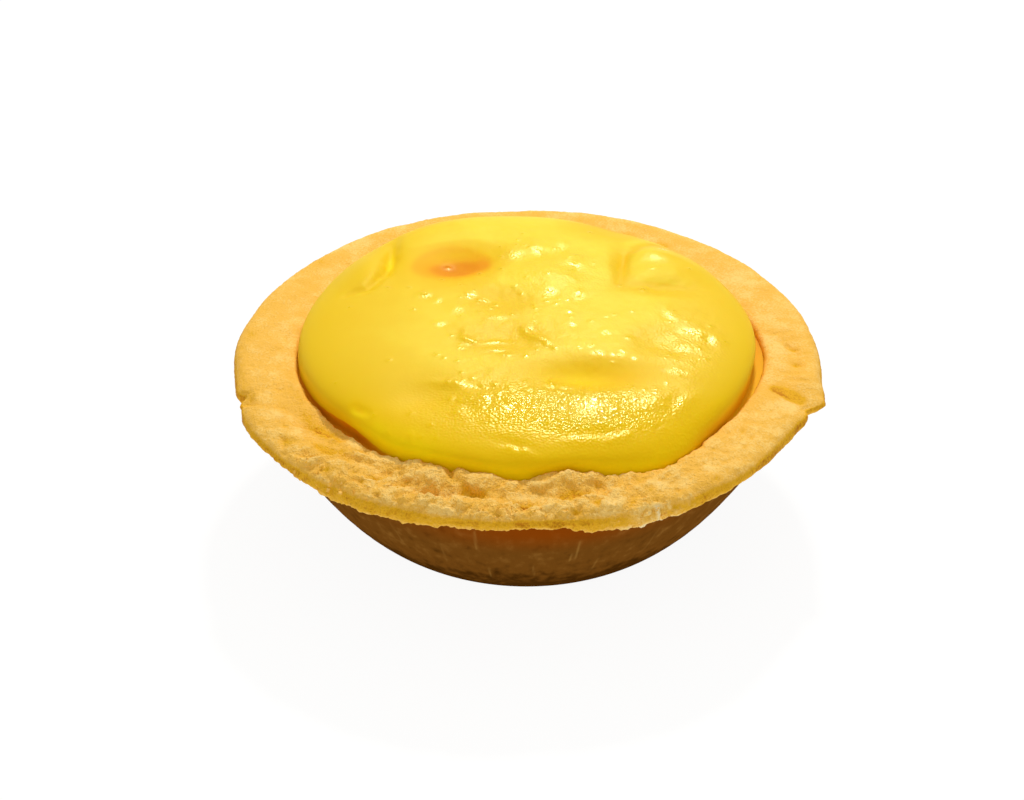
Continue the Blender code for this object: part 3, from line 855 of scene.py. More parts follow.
def side_browning_and_shade(rest_height, radius, angle):
    """Extra colour of the outer side of the rim, its low edge and the wall above the custard."""
    outer = smooth_step(radius, RIM_MIDDLE_RADIUS, RIM_MIDDLE_RADIUS + 2.0)
    # Painted shade and highlight: the outer side is browner, partly browning and partly painted shade, and
    # the low edge is paler, a painted highlight.
    side = 1.0 - smooth_step(rest_height, RIM_TOP - 1.2, RIM_TOP - 0.5)
    highlit_low_edge = 1.0 - smooth_step(rest_height, RIM_LOW_EDGE + 0.4, RIM_LOW_EDGE + 1.0)
    inner = (1.0 - outer) * (1.0 - smooth_step(rest_height, RIM_TOP - 1.1, RIM_TOP - 0.2))
    golden = hump(turn_between(angle, 0.0), 40.0)
    grooved = np.clip(hump(turn_between(angle, 215.0), 16.0), 0.0, 1.0)
    flaky = 0.24 * hump(turn_between(angle, FLAKY_ANGLE), 6.0)
    shade = 0.24 + 0.50 * grooved + 0.28 * golden
    return outer * (side * (0.36 - flaky) - (0.16 + flaky) * highlit_low_edge) + inner * shade


def make_crust():
    """The pastry shell with its wide, uneven rim; returns its rings and the fine skin's first and last."""
    section, first, last = crust_section()
    angle, _ = np.meshgrid(turn_angles(), section[:, 0])
    radius, height = crust_shape(section, angle, first)
    rings = ring_points(radius, angle, height)
    skin = slice(first, last)
    rest_height = np.repeat(section[skin, 1:], TURNS, axis=1)
    relief, brown = crust_fields(rings[skin], rest_height, radius[skin], angle[skin])
    steps = np.arange(last - first)
    fade = smooth_step(steps, 1, 6) * (1.0 - smooth_step(steps, last - first - 8, last - first - 1))
    normals = ring_normals(rings)[skin]
    torn = crumbliness(angle[skin]) * (1.0 + 1.2 * hump(turn_between(angle[skin], FLAKY_ANGLE), 8.0))
    flat = rings[skin] * np.array([1.0, 1.0, 0.2])
    ragged = torn * (0.32 * grain(flat, 1.3, 11) + 0.14 * grain(flat, 0.6, 12))
    ragged *= 1.0 - smooth_step(rest_height, RIM_LOW_EDGE + 0.2, RIM_LOW_EDGE + 1.6)
    rings[skin] += (relief * fade[:, None])[..., None] * normals
    rings[skin, :, 2] += ragged * fade[:, None]
    steep = np.clip(1.0 - ring_normals(rings)[skin][..., 2], 0.0, 1.0)
    on_top = smooth_step(rest_height, RIM_TOP - 0.8, RIM_TOP - 0.1)
    # This field holds the dough's baked colour, with painted shade and a painted highlight added.
    bake_and_shade = np.full(radius.shape, 0.55)
    bake_and_shade[skin] = brown + side_browning_and_shade(rest_height, radius[skin], angle[skin])
    # Painted shade: steep faces on the rim's top, such as the walls of its pits, are browner.
    bake_and_shade[skin] += 0.25 * on_top * np.clip(steep - 0.03, 0.0, 0.35)
    fields = {"bake_and_shade": np.clip(bake_and_shade, 0.0, 1.0), "crumbly": 0.6 + 1.0 * crumbliness(angle)}
    crust = turned_skin("pastry_crust", rings, fields)
    crust.data.materials.append(baked_pastry())
    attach(crust, "root")
    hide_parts("pastry_shell")
    return rings, first, last


def crumb_shape(chance, size):
    """Points and faces of one crumb: an uneven, angular bit of pastry."""
    bm = bmesh.new()
    bmesh.ops.create_icosphere(bm, subdivisions=1, radius=1.0)
    shift = chance.uniform(0.0, 50.0, 3)
    stretch = chance.uniform(0.55, 1.35, 3)
    points = []
    for vert in bm.verts:
        bulge = 1.0 + 0.9 * noise.noise(vert.co * 1.9 + Vector(shift))
        points.append(np.array(vert.co) * stretch * bulge * size)
    faces = [[vert.index for vert in face.verts] for face in bm.faces]
    bm.free()
    return np.array(points), faces


def make_crumbs(rings, first, last):
    """Crumbs that stick to the rim, most of them on its rough front and along its low edge."""
    chance = np.random.default_rng(CRUMB_SEED)
    normals = ring_normals(rings)
    all_points = []
    all_faces = []
    bake_and_shade = []
    count = 0
    for many, middle, spread, lowest, highest, smallest, largest, palest in CRUMB_HEAPS:
        for _ in range(many):
            turn = int(round(chance.normal(middle, spread) / 360.0 * TURNS)) % TURNS
            ring = first + int(chance.uniform(lowest, highest) * (last - first))
            size = chance.uniform(smallest, largest)
            points, faces = crumb_shape(chance, size)
            all_points.append(points + rings[ring, turn] - 0.35 * size * normals[ring, turn])
            all_faces += [[corner + count for corner in face] for face in faces]
            bake_and_shade += [palest + chance.uniform(0.0, 0.2)] * len(points)
            count += len(points)
    fields = {"bake_and_shade": np.array(bake_and_shade), "crumbly": np.ones(count)}
    crumbs = add_mesh("rim_crumbs", np.concatenate(all_points), all_faces, fields)
    crumbs.data.shade_flat()
    crumbs.data.materials.append(baked_pastry())
    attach(crumbs, "root")


# ---------------------------------------------------------------- custard


def dome_shares():
    """Shares of the custard's radius at which its top is cut, evenly spaced over the dome."""
    share = np.sin(np.linspace(math.pi / 2.0, 0.0, 400)) ** (2.0 / CUSTARD_SHOULDER_POWER)
    rise = CUSTARD_RISE * (1.0 - share**CUSTARD_SHOULDER_POWER) ** (1.0 / CUSTARD_SHOULDER_POWER)
    line = evenly_along(np.stack([share * CUSTARD_EDGE_RADIUS, rise], axis=1), 0.27)
    return line[:-1, 0] / CUSTARD_EDGE_RADIUS


def bare(x, y):
    """Where the custard's skin is dry and smooth: in its big hollow at the front and its browned blister."""
    bells = [hump(np.hypot((x - a) / half_x, (y - b) / half_y), 1.0) for a, b, half_x, half_y in DRY_PATCHES]
    return np.maximum.reduce(bells)


def skin_slope(x, y):
    """How steeply the custard falls at (x, y) without its fine relief, as (towards +X, towards -Y)."""
    share = min(math.hypot(x, y) / CUSTARD_EDGE_RADIUS, 0.97)
    puff = (1.0 - share**CUSTARD_SHOULDER_POWER) ** (1.0 / CUSTARD_SHOULDER_POWER - 1.0)
    fall = CUSTARD_RISE * share ** (CUSTARD_SHOULDER_POWER - 2.0) * puff + 2.0 * CUSTARD_CROWN
    fall /= CUSTARD_EDGE_RADIUS**2
    reach = 0.25
    around_x = np.array([x - reach, x + reach, x, x])
    around_y = np.array([y, y, y - reach, y + reach])
    around = patches(around_x, around_y, CUSTARD_RELIEF)
    fall_x = fall * x + (around[0] - around[1]) / (2.0 * reach)
    fall_y = CUSTARD_BACK_RISE / CUSTARD_EDGE_RADIUS - fall * y + (around[3] - around[2]) / (2.0 * reach)
    return fall_x, fall_y


def glint_slope(x, y):
    """The slope that faces halfway between the lamp and the eye, as (towards +X, towards -Y)."""
    here = Vector((x, y, CUSTARD_EDGE + CUSTARD_RISE))
    lamp = lamp_direction(KEY_TURN, KEY_RISE) * KEY_DISTANCE + Vector((0.0, 0.0, KEY_AIM_HEIGHT))
    halfway = (lamp - here).normalized() + (eye_place() - here).normalized()
    return halfway.x / halfway.z, -halfway.y / halfway.z


def missing_slope(x, y):
    """How much more the skin at (x, y) would have to fall to catch the light."""
    fall_x, fall_y = skin_slope(x, y)
    glint_x, glint_y = glint_slope(x, y)
    return glint_x - fall_x, glint_y - fall_y


def bead_height(x, y, half_width):
    """Height of a bead: the further the skin is from catching the light, the steeper the bead."""
    return half_width * min(1.25 * math.hypot(*missing_slope(x, y)) + 0.03, BEAD_STEEPEST)


def gloss_patches(x, y):
    """The tilted patches of the skin: their height, where they lie, how rippled and how wet they are."""
    relief = np.zeros(x.shape)
    mask = np.zeros(x.shape)
    total = np.full(x.shape, 1e-6)
    rippled = np.zeros(x.shape)
    wet = np.zeros(x.shape)
    for middle_x, middle_y, half_length, half_width, turn, tilt, ripple, wetting in CUSTARD_GLOSSES:
        more_x, more_y = missing_slope(middle_x, middle_y)
        cos = math.cos(math.radians(turn))
        sin = math.sin(math.radians(turn))
        along = (x - middle_x) * cos + (y - middle_y) * sin
        across = (y - middle_y) * cos - (x - middle_x) * sin
        window = hump(np.hypot(along / half_length, across / half_width), 1.0)
        relief += tilt * window * (more_y * (y - middle_y) - more_x * (x - middle_x))
        mask = np.maximum(mask, window)
        total += window
        rippled += ripple * window
        wet = np.maximum(wet, wetting * window)
    return relief, mask, rippled / total, wet


def beads():
    """The lumps and beads of the custard's skin: (x, y, half width, height) of each."""
    chance = np.random.default_rng(BEAD_SEED)
    found = [(x, y, size, bead_height(x, y, size)) for x, y, size in CUSTARD_LUMPS]
    for many, middle_x, middle_y, spread_x, spread_y, smallest, largest in CUSTARD_BEADS:
        for _ in range(many):
            x = chance.normal(middle_x, spread_x)
            y = chance.normal(middle_y, spread_y)
            size = chance.uniform(smallest, largest)
            if bare(x, y) < 0.5:
                found.append((x, y, size, bead_height(x, y, size)))
    return found


def skin_relief(x, y, points):
    """Fine folds, lumps and ripples of the custard's skin."""
    ripple = lively(x, y)
    x = x + 0.35 * grain(points, 2.2, 21)
    y = y + 0.35 * grain(points, 2.2, 22)
    total = 0.10 * grain(points, 6.0, 23) + 0.05 * ripple * grain(points, 2.0, 24)
    total += 0.035 * ripple * grain(points, 0.95, 25)
    for course, height, half_width in CUSTARD_FOLDS:
        total += height * crease(x, y, course, half_width)
    return total + bead_relief(x, y)[0] + gloss_patches(x, y)[0]


def bead_relief(x, y):
    """Height of the lumps and beads, and a mask that is 1 on top of them."""
    raised = np.zeros(x.shape)
    mask = np.zeros(x.shape)
    for middle_x, middle_y, half_width, height in beads():
        distance = np.hypot(x - middle_x, y - middle_y)
        raised = np.maximum(raised, height * hump(distance, half_width))
        mask = np.maximum(mask, hump(distance, 1.25 * half_width))
    return raised, mask


def skin_creases(x, y):
    """How deep in the skin's creases the points lie, up to 1."""
    total = np.zeros(x.shape)
    for course, height, half_width in CUSTARD_FOLDS:
        if height < 0.0:
            total += crease(x, y, course, 1.2 * half_width)
    return np.clip(total, 0.0, 1.0)


def lively(x, y):
    """Where the custard's skin is blistered and rippled: all but its smooth left side."""
    return smooth_step(x, -16.0, -6.0) * (1.0 - smooth_step(np.hypot(x, y), 24.0, 30.0))


def wetness(x, y, share):
    """How wet the skin is: most on its beads, folds and tilted patches, and dry at its edge."""
    inside = 1.0 - smooth_step(share, 0.90, 0.98)
    broad = 0.20 + 0.75 * glitter(x, y)
    folds = np.zeros(x.shape)
    for course, height, half_width in CUSTARD_FOLDS:
        if height > 0.0:
            folds = np.maximum(folds, 0.8 * crease(x, y, course, 1.5 * half_width))
    spots = np.maximum(0.95 * bead_relief(x, y)[1], gloss_patches(x, y)[3])
    wet = np.maximum(np.maximum(broad, folds) * (1.0 - 0.9 * bare(x, y)), spots)
    return np.clip(wet * inside, 0.0, 1.0)


def glitter(x, y):
    """Where the custard's skin is finely beaded."""
    return np.clip(patches(x, y, GLITTER_PATCHES) * (1.0 - bare(x, y)), 0.0, 1.0)


def rippling(x, y):
    """How strong the fine ripples are: like the beading, but each tilted patch has its own measure."""
    _, mask, rippled, _ = gloss_patches(x, y)
    return glitter(x, y) * (1.0 - mask) + rippled * mask


def depth_of_colour(x, y, height, share):
    """How deep the yellow is: pale on top and back, deep at front, sides and edge, and as painted shade in
    hollows.
    """
    front = smooth_step(-y, 8.0, 29.0)
    left = smooth_step(-x, 6.0, 30.0)
    edge = smooth_step(share, 0.80, 0.98) * (1.0 - smooth_step(height, 21.5, 26.0))
    right = smooth_step(x, 14.0, 30.0)
    # Painted shade: the skin's hollows and creases get the deeper, darker yellow.
    hollows = np.clip(-patches(x, y, CUSTARD_RELIEF), 0.0, 1.0) ** 0.8 + 0.5 * skin_creases(x, y)
    broad = 0.14 + 0.48 * front + patches(x, y, DEEP_PATCHES) + 0.24 * left + 0.26 * right
    return np.clip(broad + 0.34 * edge + 0.62 * hollows, 0.0, 1.0)


def blister_toast_and_shadow(x, y):
    """How brown the blister is: an even disc, a painted shadow along its back rim, and its darkest part."""
    spread = np.hypot((x - BLISTER[0]) / BLISTER_HALF_WIDTH, (y - BLISTER[1]) / BLISTER_HALF_WIDTH)
    disc = 0.21 * np.exp(-(spread**6)) * (0.6 + 0.4 * smooth_step(y, 8.0, 12.0))
    # Painted shadow: the darker ring at the blister's back, under its lip.
    ring = 0.12 * hump(spread - 0.90, 0.14) * smooth_step(y, 10.0, 14.0)
    core_x, core_y, half_x, half_y = BLISTER_CORE
    core = 0.36 * np.exp(-(np.hypot((x - core_x) / half_x, (y - core_y) / half_y) ** 3))
    return disc + ring + core


def edge_toast(angle, height, share):
    """How brown the custard is low down: torn at the left, golden at the right, and spots at the back."""
    foot = 1.0 - smooth_step(height, CUSTARD_EDGE + 0.2, CUSTARD_EDGE + 0.9)
    skirt = 1.0 - smooth_step(height, CUSTARD_EDGE + 1.0, CUSTARD_EDGE + 3.0)
    torn = CUSTARD_EDGE + 0.15 + 0.80 * hump(turn_between(angle, TORN_ANGLE), 14.0)
    low = 1.0 - smooth_step(height, torn - 0.12, torn + 0.12)
    left = 0.72 * low * hump(turn_between(angle, 206.0), 30.0)
    golden = 0.30 * plateau(angle, 358.0, 36.0) + 0.20 * hump(turn_between(angle, 322.0), 14.0)
    back = 0.34 * foot * plateau(angle, 62.0, 14.0)
    flank = 0.26 * smooth_step(share, 0.915, 0.965) * hump(turn_between(angle, 24.0), 22.0)
    return left + np.maximum(foot, skirt) * golden + back + flank


def toasting_and_shade(x, y, angle, height, share):
    """How toasted the custard is at its blister, foot and stains, with painted shade in some hollows and
    creases.
    """
    stains = sum(strength * crease(x, y, course, width) for course, strength, width in CUSTARD_STAINS)
    places = blister_toast_and_shadow(x, y) + edge_toast(angle, height, share)
    return np.clip(places + stains + patches(x, y, TOAST_AND_SHADE_PATCHES), 0.0, 1.0)


def custard_rings():
    """Rings of the custard: its underside in the pastry, its foot beside the wall, then the dome."""
    angle = turn_angles()[None, :]
    broad = wave(angle, [place for place in HOLE_WAVES if place[2] >= BROAD_WAVE])
    narrow = wave(angle, [place for place in HOLE_WAVES if place[2] < BROAD_WAVE])
    groove = wave(angle, SHRINK_GROOVES)
    contact = CUSTARD_EDGE_RADIUS + CUSTARD_SPREAD + broad + narrow
    foot = CUSTARD_EDGE - FOOT_DROP * hump(turn_between(angle, TORN_ANGLE), 20.0)

    under = np.array([(0.4, RECESS_FLOOR), (9.0, RECESS_FLOOR)])
    below = inset(np.concatenate([under, recess_wall(10)]), GAP * 1.15)
    below_height = np.repeat(below[:, 1:], TURNS, axis=1)
    eased = smooth_step(below[:, :1], 0.0, CUSTARD_EDGE_RADIUS)
    below_radius = below[:, :1] + hole_shift(angle, below_height) * eased

    climb = np.linspace(0.2, 1.0, 5)[:, None]
    side_radius = below_radius[-1:] + (contact - below_radius[-1:]) * climb
    side_height = below_height[-1:] + (foot - below_height[-1:]) * climb
    inward = np.array([0.05, 0.35, 0.7])[:, None]
    foot_radius = contact - inward * (groove + FOOT_WIDTH)
    foot_height = np.broadcast_to(foot, foot_radius.shape)

    shares = dome_shares()[:, None]
    puff = (1.0 - shares**CUSTARD_SHOULDER_POWER) ** (1.0 / CUSTARD_SHOULDER_POWER)
    pinch = 1.0 - smooth_step(puff, 0.10, 0.80)
    radius = shares * (CUSTARD_EDGE_RADIUS + CUSTARD_SPREAD - FOOT_WIDTH + broad + (narrow - groove) * pinch)
    turn = np.radians(angle)
    x = radius * np.cos(turn)
    y = radius * np.sin(turn)
    rise = CUSTARD_EDGE - foot + CUSTARD_RISE + CUSTARD_BACK_RISE * y / CUSTARD_EDGE_RADIUS
    height = foot + rise * puff + CUSTARD_CROWN * (1.0 - shares**2)
    fine = skin_relief(x, y, np.stack([x, y, height], axis=-1))
    height = height + (patches(x, y, CUSTARD_RELIEF) + fine) * puff

    radii = np.concatenate([below_radius, side_radius, foot_radius, radius])
    heights = np.concatenate([below_height, side_height, foot_height, height])
    hidden = len(radii) - len(shares)
    share = np.concatenate([np.ones((hidden, TURNS)), np.repeat(shares, TURNS, axis=1)])
    return ring_points(radii, np.repeat(angle, len(radii), axis=0), heights), share


def make_custard():
    """The custard, filling the pastry and puffed up above its rim."""
    rings, share = custard_rings()
    x = rings[..., 0]
    y = rings[..., 1]
    angle = np.repeat(turn_angles()[None, :], len(rings), axis=0)
    fields = {
        "deep": depth_of_colour(x, y, rings[..., 2], share),
        "toast_and_shade": toasting_and_shade(x, y, angle, rings[..., 2], share),
        "wet": wetness(x, y, share),
        "glitter": rippling(x, y),
    }
    custard = turned_skin("baked_custard", rings, fields)
    custard.data.materials.append(glossy_custard())
    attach(custard, "root")
    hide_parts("custard")


# ---------------------------------------------------------------- materials


def new_group(name, inputs, outputs):
    """Empty shader node group; inputs are (name, value) and outputs are (name, socket type)."""
    group = bpy.data.node_groups.new(name, "ShaderNodeTree")
    for label, value in inputs:
        socket = group.interface.new_socket(name=label, in_out="INPUT", socket_type="NodeSocketFloat")
        socket.default_value = value
    for label, kind in outputs:
        group.interface.new_socket(name=label, in_out="OUTPUT", socket_type=kind)
    return group, group.nodes.new("NodeGroupInput"), group.nodes.new("NodeGroupOutput")


def sized_coordinates(tree, size):
    """Object coordinates divided by the size socket, so that a pattern's parts are one size wide."""
    where = tree.nodes.new("ShaderNodeTexCoord")
    inverse = tree.nodes.new("ShaderNodeMath")
    inverse.operation = "DIVIDE"
    inverse.inputs[0].default_value = 1.0
    tree.links.new(size, inverse.inputs[1])
    scaled = tree.nodes.new("ShaderNodeVectorMath")
    scaled.operation = "SCALE"
    tree.links.new(where.outputs["Object"], scaled.inputs[0])
    tree.links.new(inverse.outputs[0], scaled.inputs["Scale"])
    return scaled.outputs[0]


def colour_ramp(tree, factor, stops):
    """Colour ramp driven by factor; stops are (place, colour)."""
    ramp = tree.nodes.new("ShaderNodeValToRGB")
    ramp.color_ramp.interpolation = "EASE"
    elements = ramp.color_ramp.elements
    elements[0].position = stops[0][0]
    elements[0].color = (*stops[0][1], 1.0)
    elements[1].position = stops[-1][0]
    elements[1].color = (*stops[-1][1], 1.0)
    for place, colour in stops[1:-1]:
        element = elements.new(place)
        element.color = (*colour, 1.0)
    tree.links.new(factor, ramp.inputs[0])
    return ramp.outputs["Color"]


def sized_noise(tree, size, detail):
    """Noise with lumps one size wide; size is a socket."""
    texture = tree.nodes.new("ShaderNodeTexNoise")
    texture.inputs["Scale"].default_value = 1.0
    texture.inputs["Detail"].default_value = detail
    tree.links.new(sized_coordinates(tree, size), texture.inputs["Vector"])
    return texture.outputs["Fac"]


def mottle_group():
    """Soft patches of one size, from 0 to 1."""
    if "mottle" in bpy.data.node_groups:
        return bpy.data.node_groups["mottle"]
    group, given, made = new_group("mottle", [("Patch Size", 3.0 * MM)], [("Patches", "NodeSocketFloat")])
    group.links.new(sized_noise(group, given.outputs["Patch Size"], 3.0), made.inputs["Patches"])
    return group


def fine_grain_group():
    """Fine grainy height for bumps, and sparse specks as a mask."""
    if "fine_grain" in bpy.data.node_groups:
        return bpy.data.node_groups["fine_grain"]
    outputs = [("Height", "NodeSocketFloat"), ("Specks", "NodeSocketFloat")]
    group, given, made = new_group("fine_grain", [("Grain Size", 0.3 * MM)], outputs)
    where = sized_coordinates(group, given.outputs["Grain Size"])
    grains = group.nodes.new("ShaderNodeTexNoise")
    grains.inputs["Scale"].default_value = 1.0
    grains.inputs["Detail"].default_value = 2.0
    group.links.new(where, grains.inputs["Vector"])
    cells = group.nodes.new("ShaderNodeTexVoronoi")
    cells.inputs["Scale"].default_value = 0.6
    group.links.new(where, cells.inputs["Vector"])
    specks = group.nodes.new("ShaderNodeMapRange")
    specks.interpolation_type = "SMOOTHSTEP"
    specks.inputs["From Min"].default_value = 0.30
    specks.inputs["From Max"].default_value = 0.12
    group.links.new(cells.outputs["Distance"], specks.inputs["Value"])
    group.links.new(grains.outputs["Fac"], made.inputs["Height"])
    group.links.new(specks.outputs["Result"], made.inputs["Specks"])
    return group


def ripples_group():
    """Even, fine ripples as a height for bumps."""
    if "ripples" in bpy.data.node_groups:
        return bpy.data.node_groups["ripples"]
    outputs = [("Height", "NodeSocketFloat")]
    group, given, made = new_group("ripples", [("Ripple Size", 0.35 * MM)], outputs)
    group.links.new(sized_noise(group, given.outputs["Ripple Size"], 0.0), made.inputs["Height"])
    return group


def place_group(tree, group, values):
    """The group as a node with its own values."""
    node = tree.nodes.new("ShaderNodeGroup")
    node.node_tree = group
    for label, value in values.items():
        node.inputs[label].default_value = value
    return node


def attribute_value(tree, name):
    """Value of one of the mesh's own fields."""
    node = tree.nodes.new("ShaderNodeAttribute")
    node.attribute_name = name
    return node.outputs["Fac"]


def maths(tree, operation, a, b, c=None):
    """One arithmetic node; a, b and c are sockets or numbers."""
    node = tree.nodes.new("ShaderNodeMath")
    node.operation = operation
    for socket, value in zip(node.inputs, (a, b, c)):
        if isinstance(value, (int, float)):
            socket.default_value = value
        elif value is not None:
            tree.links.new(value, socket)
    return node.outputs[0]


def mixed_colour(tree, factor, a, b):
    """Mix of two colours by factor; a and b are sockets or colours."""
    node = tree.nodes.new("ShaderNodeMix")
    node.data_type = "RGBA"
    tree.links.new(factor, node.inputs["Factor"])
    for socket, value in zip((node.inputs[6], node.inputs[7]), (a, b)):
        if isinstance(value, tuple):
            socket.default_value = (*value, 1.0)
        else:
            tree.links.new(value, socket)
    return node.outputs[2]


def bump(tree, height, distance, strength, shader):
    """Bump from the height, fed to the shader's normal."""
    node = tree.nodes.new("ShaderNodeBump")
    node.inputs["Distance"].default_value = distance
    node.inputs["Strength"].default_value = strength
    tree.links.new(height, node.inputs["Height"])
    tree.links.new(node.outputs["Normal"], shader.inputs["Normal"])


def new_material(name):
    """New material with its node tree and its Principled shader."""
    material = bpy.data.materials.new(name)
    material.use_nodes = True
    return material, material.node_tree, material.node_tree.nodes["Principled BSDF"]


PASTRY_TONES = (
    (0.00, (1.000, 0.800, 0.420)),
    (0.22, (0.980, 0.650, 0.190)),
    (0.40, (0.910, 0.515, 0.080)),
    (0.62, (0.830, 0.440, 0.014)),
    (0.82, (0.580, 0.220, 0.004)),
    (1.00, (0.420, 0.130, 0.002)),
)


def baked_pastry():
    """Shortcrust: pale gold, browner where its field says, and finely grained."""
    if "shortcrust" in bpy.data.materials:
        return bpy.data.materials["shortcrust"]
    material, tree, shader = new_material("shortcrust")
    mottle = place_group(tree, mottle_group(), {"Patch Size": 2.6 * MM})
    grain_node = place_group(tree, fine_grain_group(), {"Grain Size": 0.30 * MM})
    brown = maths(tree, "MULTIPLY_ADD", mottle.outputs["Patches"], 0.24, attribute_value(tree, "bake_and_shade"))
    brown = maths(tree, "MULTIPLY_ADD", grain_node.outputs["Height"], -0.36, brown)
    brown = maths(tree, "ADD", brown, 0.06)
    brown = maths(tree, "MULTIPLY_ADD", grain_node.outputs["Specks"], 0.05, brown)
    tree.links.new(colour_ramp(tree, brown, PASTRY_TONES), shader.inputs["Base Color"])
    shader.inputs["Roughness"].default_value = 0.72
    shader.inputs["Specular IOR Level"].default_value = 0.12
    height = maths(tree, "MULTIPLY", grain_node.outputs["Height"], attribute_value(tree, "crumbly"))
    bump(tree, height, 0.20 * MM, 1.0, shader)
    return material


CUSTARD_TONES = (
    (0.00, (0.930, 0.740, 0.050)),
    (0.35, (0.860, 0.570, 0.012)),
    (0.70, (0.870, 0.565, 0.000)),
    (1.00, (0.980, 0.730, 0.000)),
)
# Colours of toasting, also used for the painted shade in hollows and creases.
TOAST_AND_SHADE_TONES = (
    (0.00, (0.930, 0.520, 0.004)),
    (0.35, (0.860, 0.375, 0.002)),
    (0.60, (0.800, 0.275, 0.000)),
    (1.00, (0.560, 0.170, 0.001)),
)


def glossy_custard():
    """Custard: deep yellow, soft inside, its skin wet and finely beaded where its fields say."""
    material, tree, shader = new_material("egg_custard")
    mottle = place_group(tree, mottle_group(), {"Patch Size": 5.0 * MM})
    ripples = place_group(tree, ripples_group(), {"Ripple Size": 0.34 * MM})
    deep = maths(tree, "MULTIPLY_ADD", mottle.outputs["Patches"], 0.20, attribute_value(tree, "deep"))
    deep = maths(tree, "SUBTRACT", deep, 0.10)
    yellow = colour_ramp(tree, deep, CUSTARD_TONES)
    toast_and_shade = attribute_value(tree, "toast_and_shade")
    toast_and_shade_colour = colour_ramp(tree, toast_and_shade, TOAST_AND_SHADE_TONES)
    share = maths(tree, "MINIMUM", maths(tree, "MULTIPLY", toast_and_shade, 2.2), 1.0)
    tree.links.new(mixed_colour(tree, share, yellow, toast_and_shade_colour), shader.inputs["Base Color"])
    wet = attribute_value(tree, "wet")
    tree.links.new(maths(tree, "MULTIPLY_ADD", wet, -0.52, 0.66), shader.inputs["Roughness"])
    shader.inputs["Specular IOR Level"].default_value = 0.32
    shader.inputs["Specular Tint"].default_value = (1.0, 0.94, 0.24, 1.0)
    shader.inputs["Subsurface Weight"].default_value = 0.35
    shader.inputs["Subsurface Radius"].default_value = (1.0, 0.75, 0.15)
    shader.inputs["Subsurface Scale"].default_value = 1.6 * MM
    height = maths(tree, "MULTIPLY", ripples.outputs["Height"], attribute_value(tree, "glitter"))
    bump(tree, height, 0.115 * MM, 1.0, shader)
    return material


TIN_TONES = (
    (0.00, (0.062, 0.021, 0.002)),
    (0.50, (0.165, 0.060, 0.007)),
    (1.00, (0.310, 0.140, 0.026)),
)
# Painted reflection: colour of the orange glow on the tin under the rim.
TIN_PAINTED_GLOW = (0.260, 0.050, 0.001)
# Painted highlight: the pale colour of the glints on the tin's wall.
TIN_GLINT_COLOUR = (0.50, 0.27, 0.06)


def tin_metal():
    """Old tin: brown and matt with upright streaks; painted glints, painted shade low down, painted glow
    under the rim.
    """
    material, tree, shader = new_material("tin_brown")
    where = tree.nodes.new("ShaderNodeTexCoord")
    squeeze = tree.nodes.new("ShaderNodeMapping")
    squeeze.inputs["Scale"].default_value = (0.9 / MM, 0.9 / MM, 0.12 / MM)
    tree.links.new(where.outputs["Object"], squeeze.inputs["Vector"])
    streaks = tree.nodes.new("ShaderNodeTexNoise")
    streaks.inputs["Scale"].default_value = 1.0
    streaks.inputs["Detail"].default_value = 4.0
    tree.links.new(squeeze.outputs["Vector"], streaks.inputs["Vector"])
    mottle = place_group(tree, mottle_group(), {"Patch Size": 2.4 * MM})
    # The pale field brings in painted shade: darker towards the tin's bottom.
    tone = maths(tree, "MULTIPLY_ADD", mottle.outputs["Patches"], 0.8, attribute_value(tree, "pale"))
    tone = maths(tree, "MULTIPLY_ADD", streaks.outputs["Fac"], 0.7, tone)
    tone = maths(tree, "SUBTRACT", tone, 0.75)
    brown = colour_ramp(tree, tone, TIN_TONES)
    # Painted reflection: the orange glow under the rim is mixed into the tin's colour here.
    glowing = mixed_colour(tree, attribute_value(tree, "painted_glow"), brown, TIN_PAINTED_GLOW)
    # Painted highlight: the thin glints are mixed into the tin's colour here.
    glinting = mixed_colour(tree, attribute_value(tree, "painted_glint"), glowing, TIN_GLINT_COLOUR)
    tree.links.new(glinting, shader.inputs["Base Color"])
    shader.inputs["Metallic"].default_value = 0.0
    shader.inputs["Specular IOR Level"].default_value = 0.0
    shader.inputs["Roughness"].default_value = 0.55
    grain_node = place_group(tree, fine_grain_group(), {"Grain Size": 0.5 * MM})
    height = maths(tree, "MULTIPLY_ADD", streaks.outputs["Fac"], 1.5, grain_node.outputs["Height"])
    bump(tree, height, 0.04 * MM, 0.5, shader)
    return material


# ---------------------------------------------------------------- studio

LENS_IN_FRAME_WIDTHS = 2.828
LENS_SHIFT = (-0.01406, 0.025)
WARM_WHITE = (1.0, 0.96, 0.86)
# The lamps: name, turn, rise and distance, width and depth in metres, power in watts, colour.
LIGHTS = (
    ("key", KEY_TURN, KEY_RISE, KEY_DISTANCE, 0.060, 0.050, 2.5, (1.0, 0.97, 0.92)),
    ("overhead", 0.0, 80.0, 800.0, 0.90, 0.90, 0.8, WARM_WHITE),
    ("front_fill", 180.0, 35.0, 800.0, 0.90, 0.90, 1.4, WARM_WHITE),
)
SURROUNDING_COLOUR = (1.0, 0.96, 0.84, 1.0)
SURROUNDING_STRENGTH = 0.42
FLOOR_REACH = 2.0
FLOOR_GLOW = 0.93


def add_camera():
    """The camera, in front of the tart and looking down on it."""
    lens = bpy.data.cameras.new("view")
    lens.lens = LENS_IN_FRAME_WIDTHS * lens.sensor_width
    lens.shift_x, lens.shift_y = LENS_SHIFT
    lens.clip_start = 0.01
    camera = add_object("view", lens)
    camera.location = eye_place() * MM
    camera.rotation_euler = (math.pi / 2.0 - math.radians(VIEW_RISE), 0.0, 0.0)
    bpy.context.scene.camera = camera


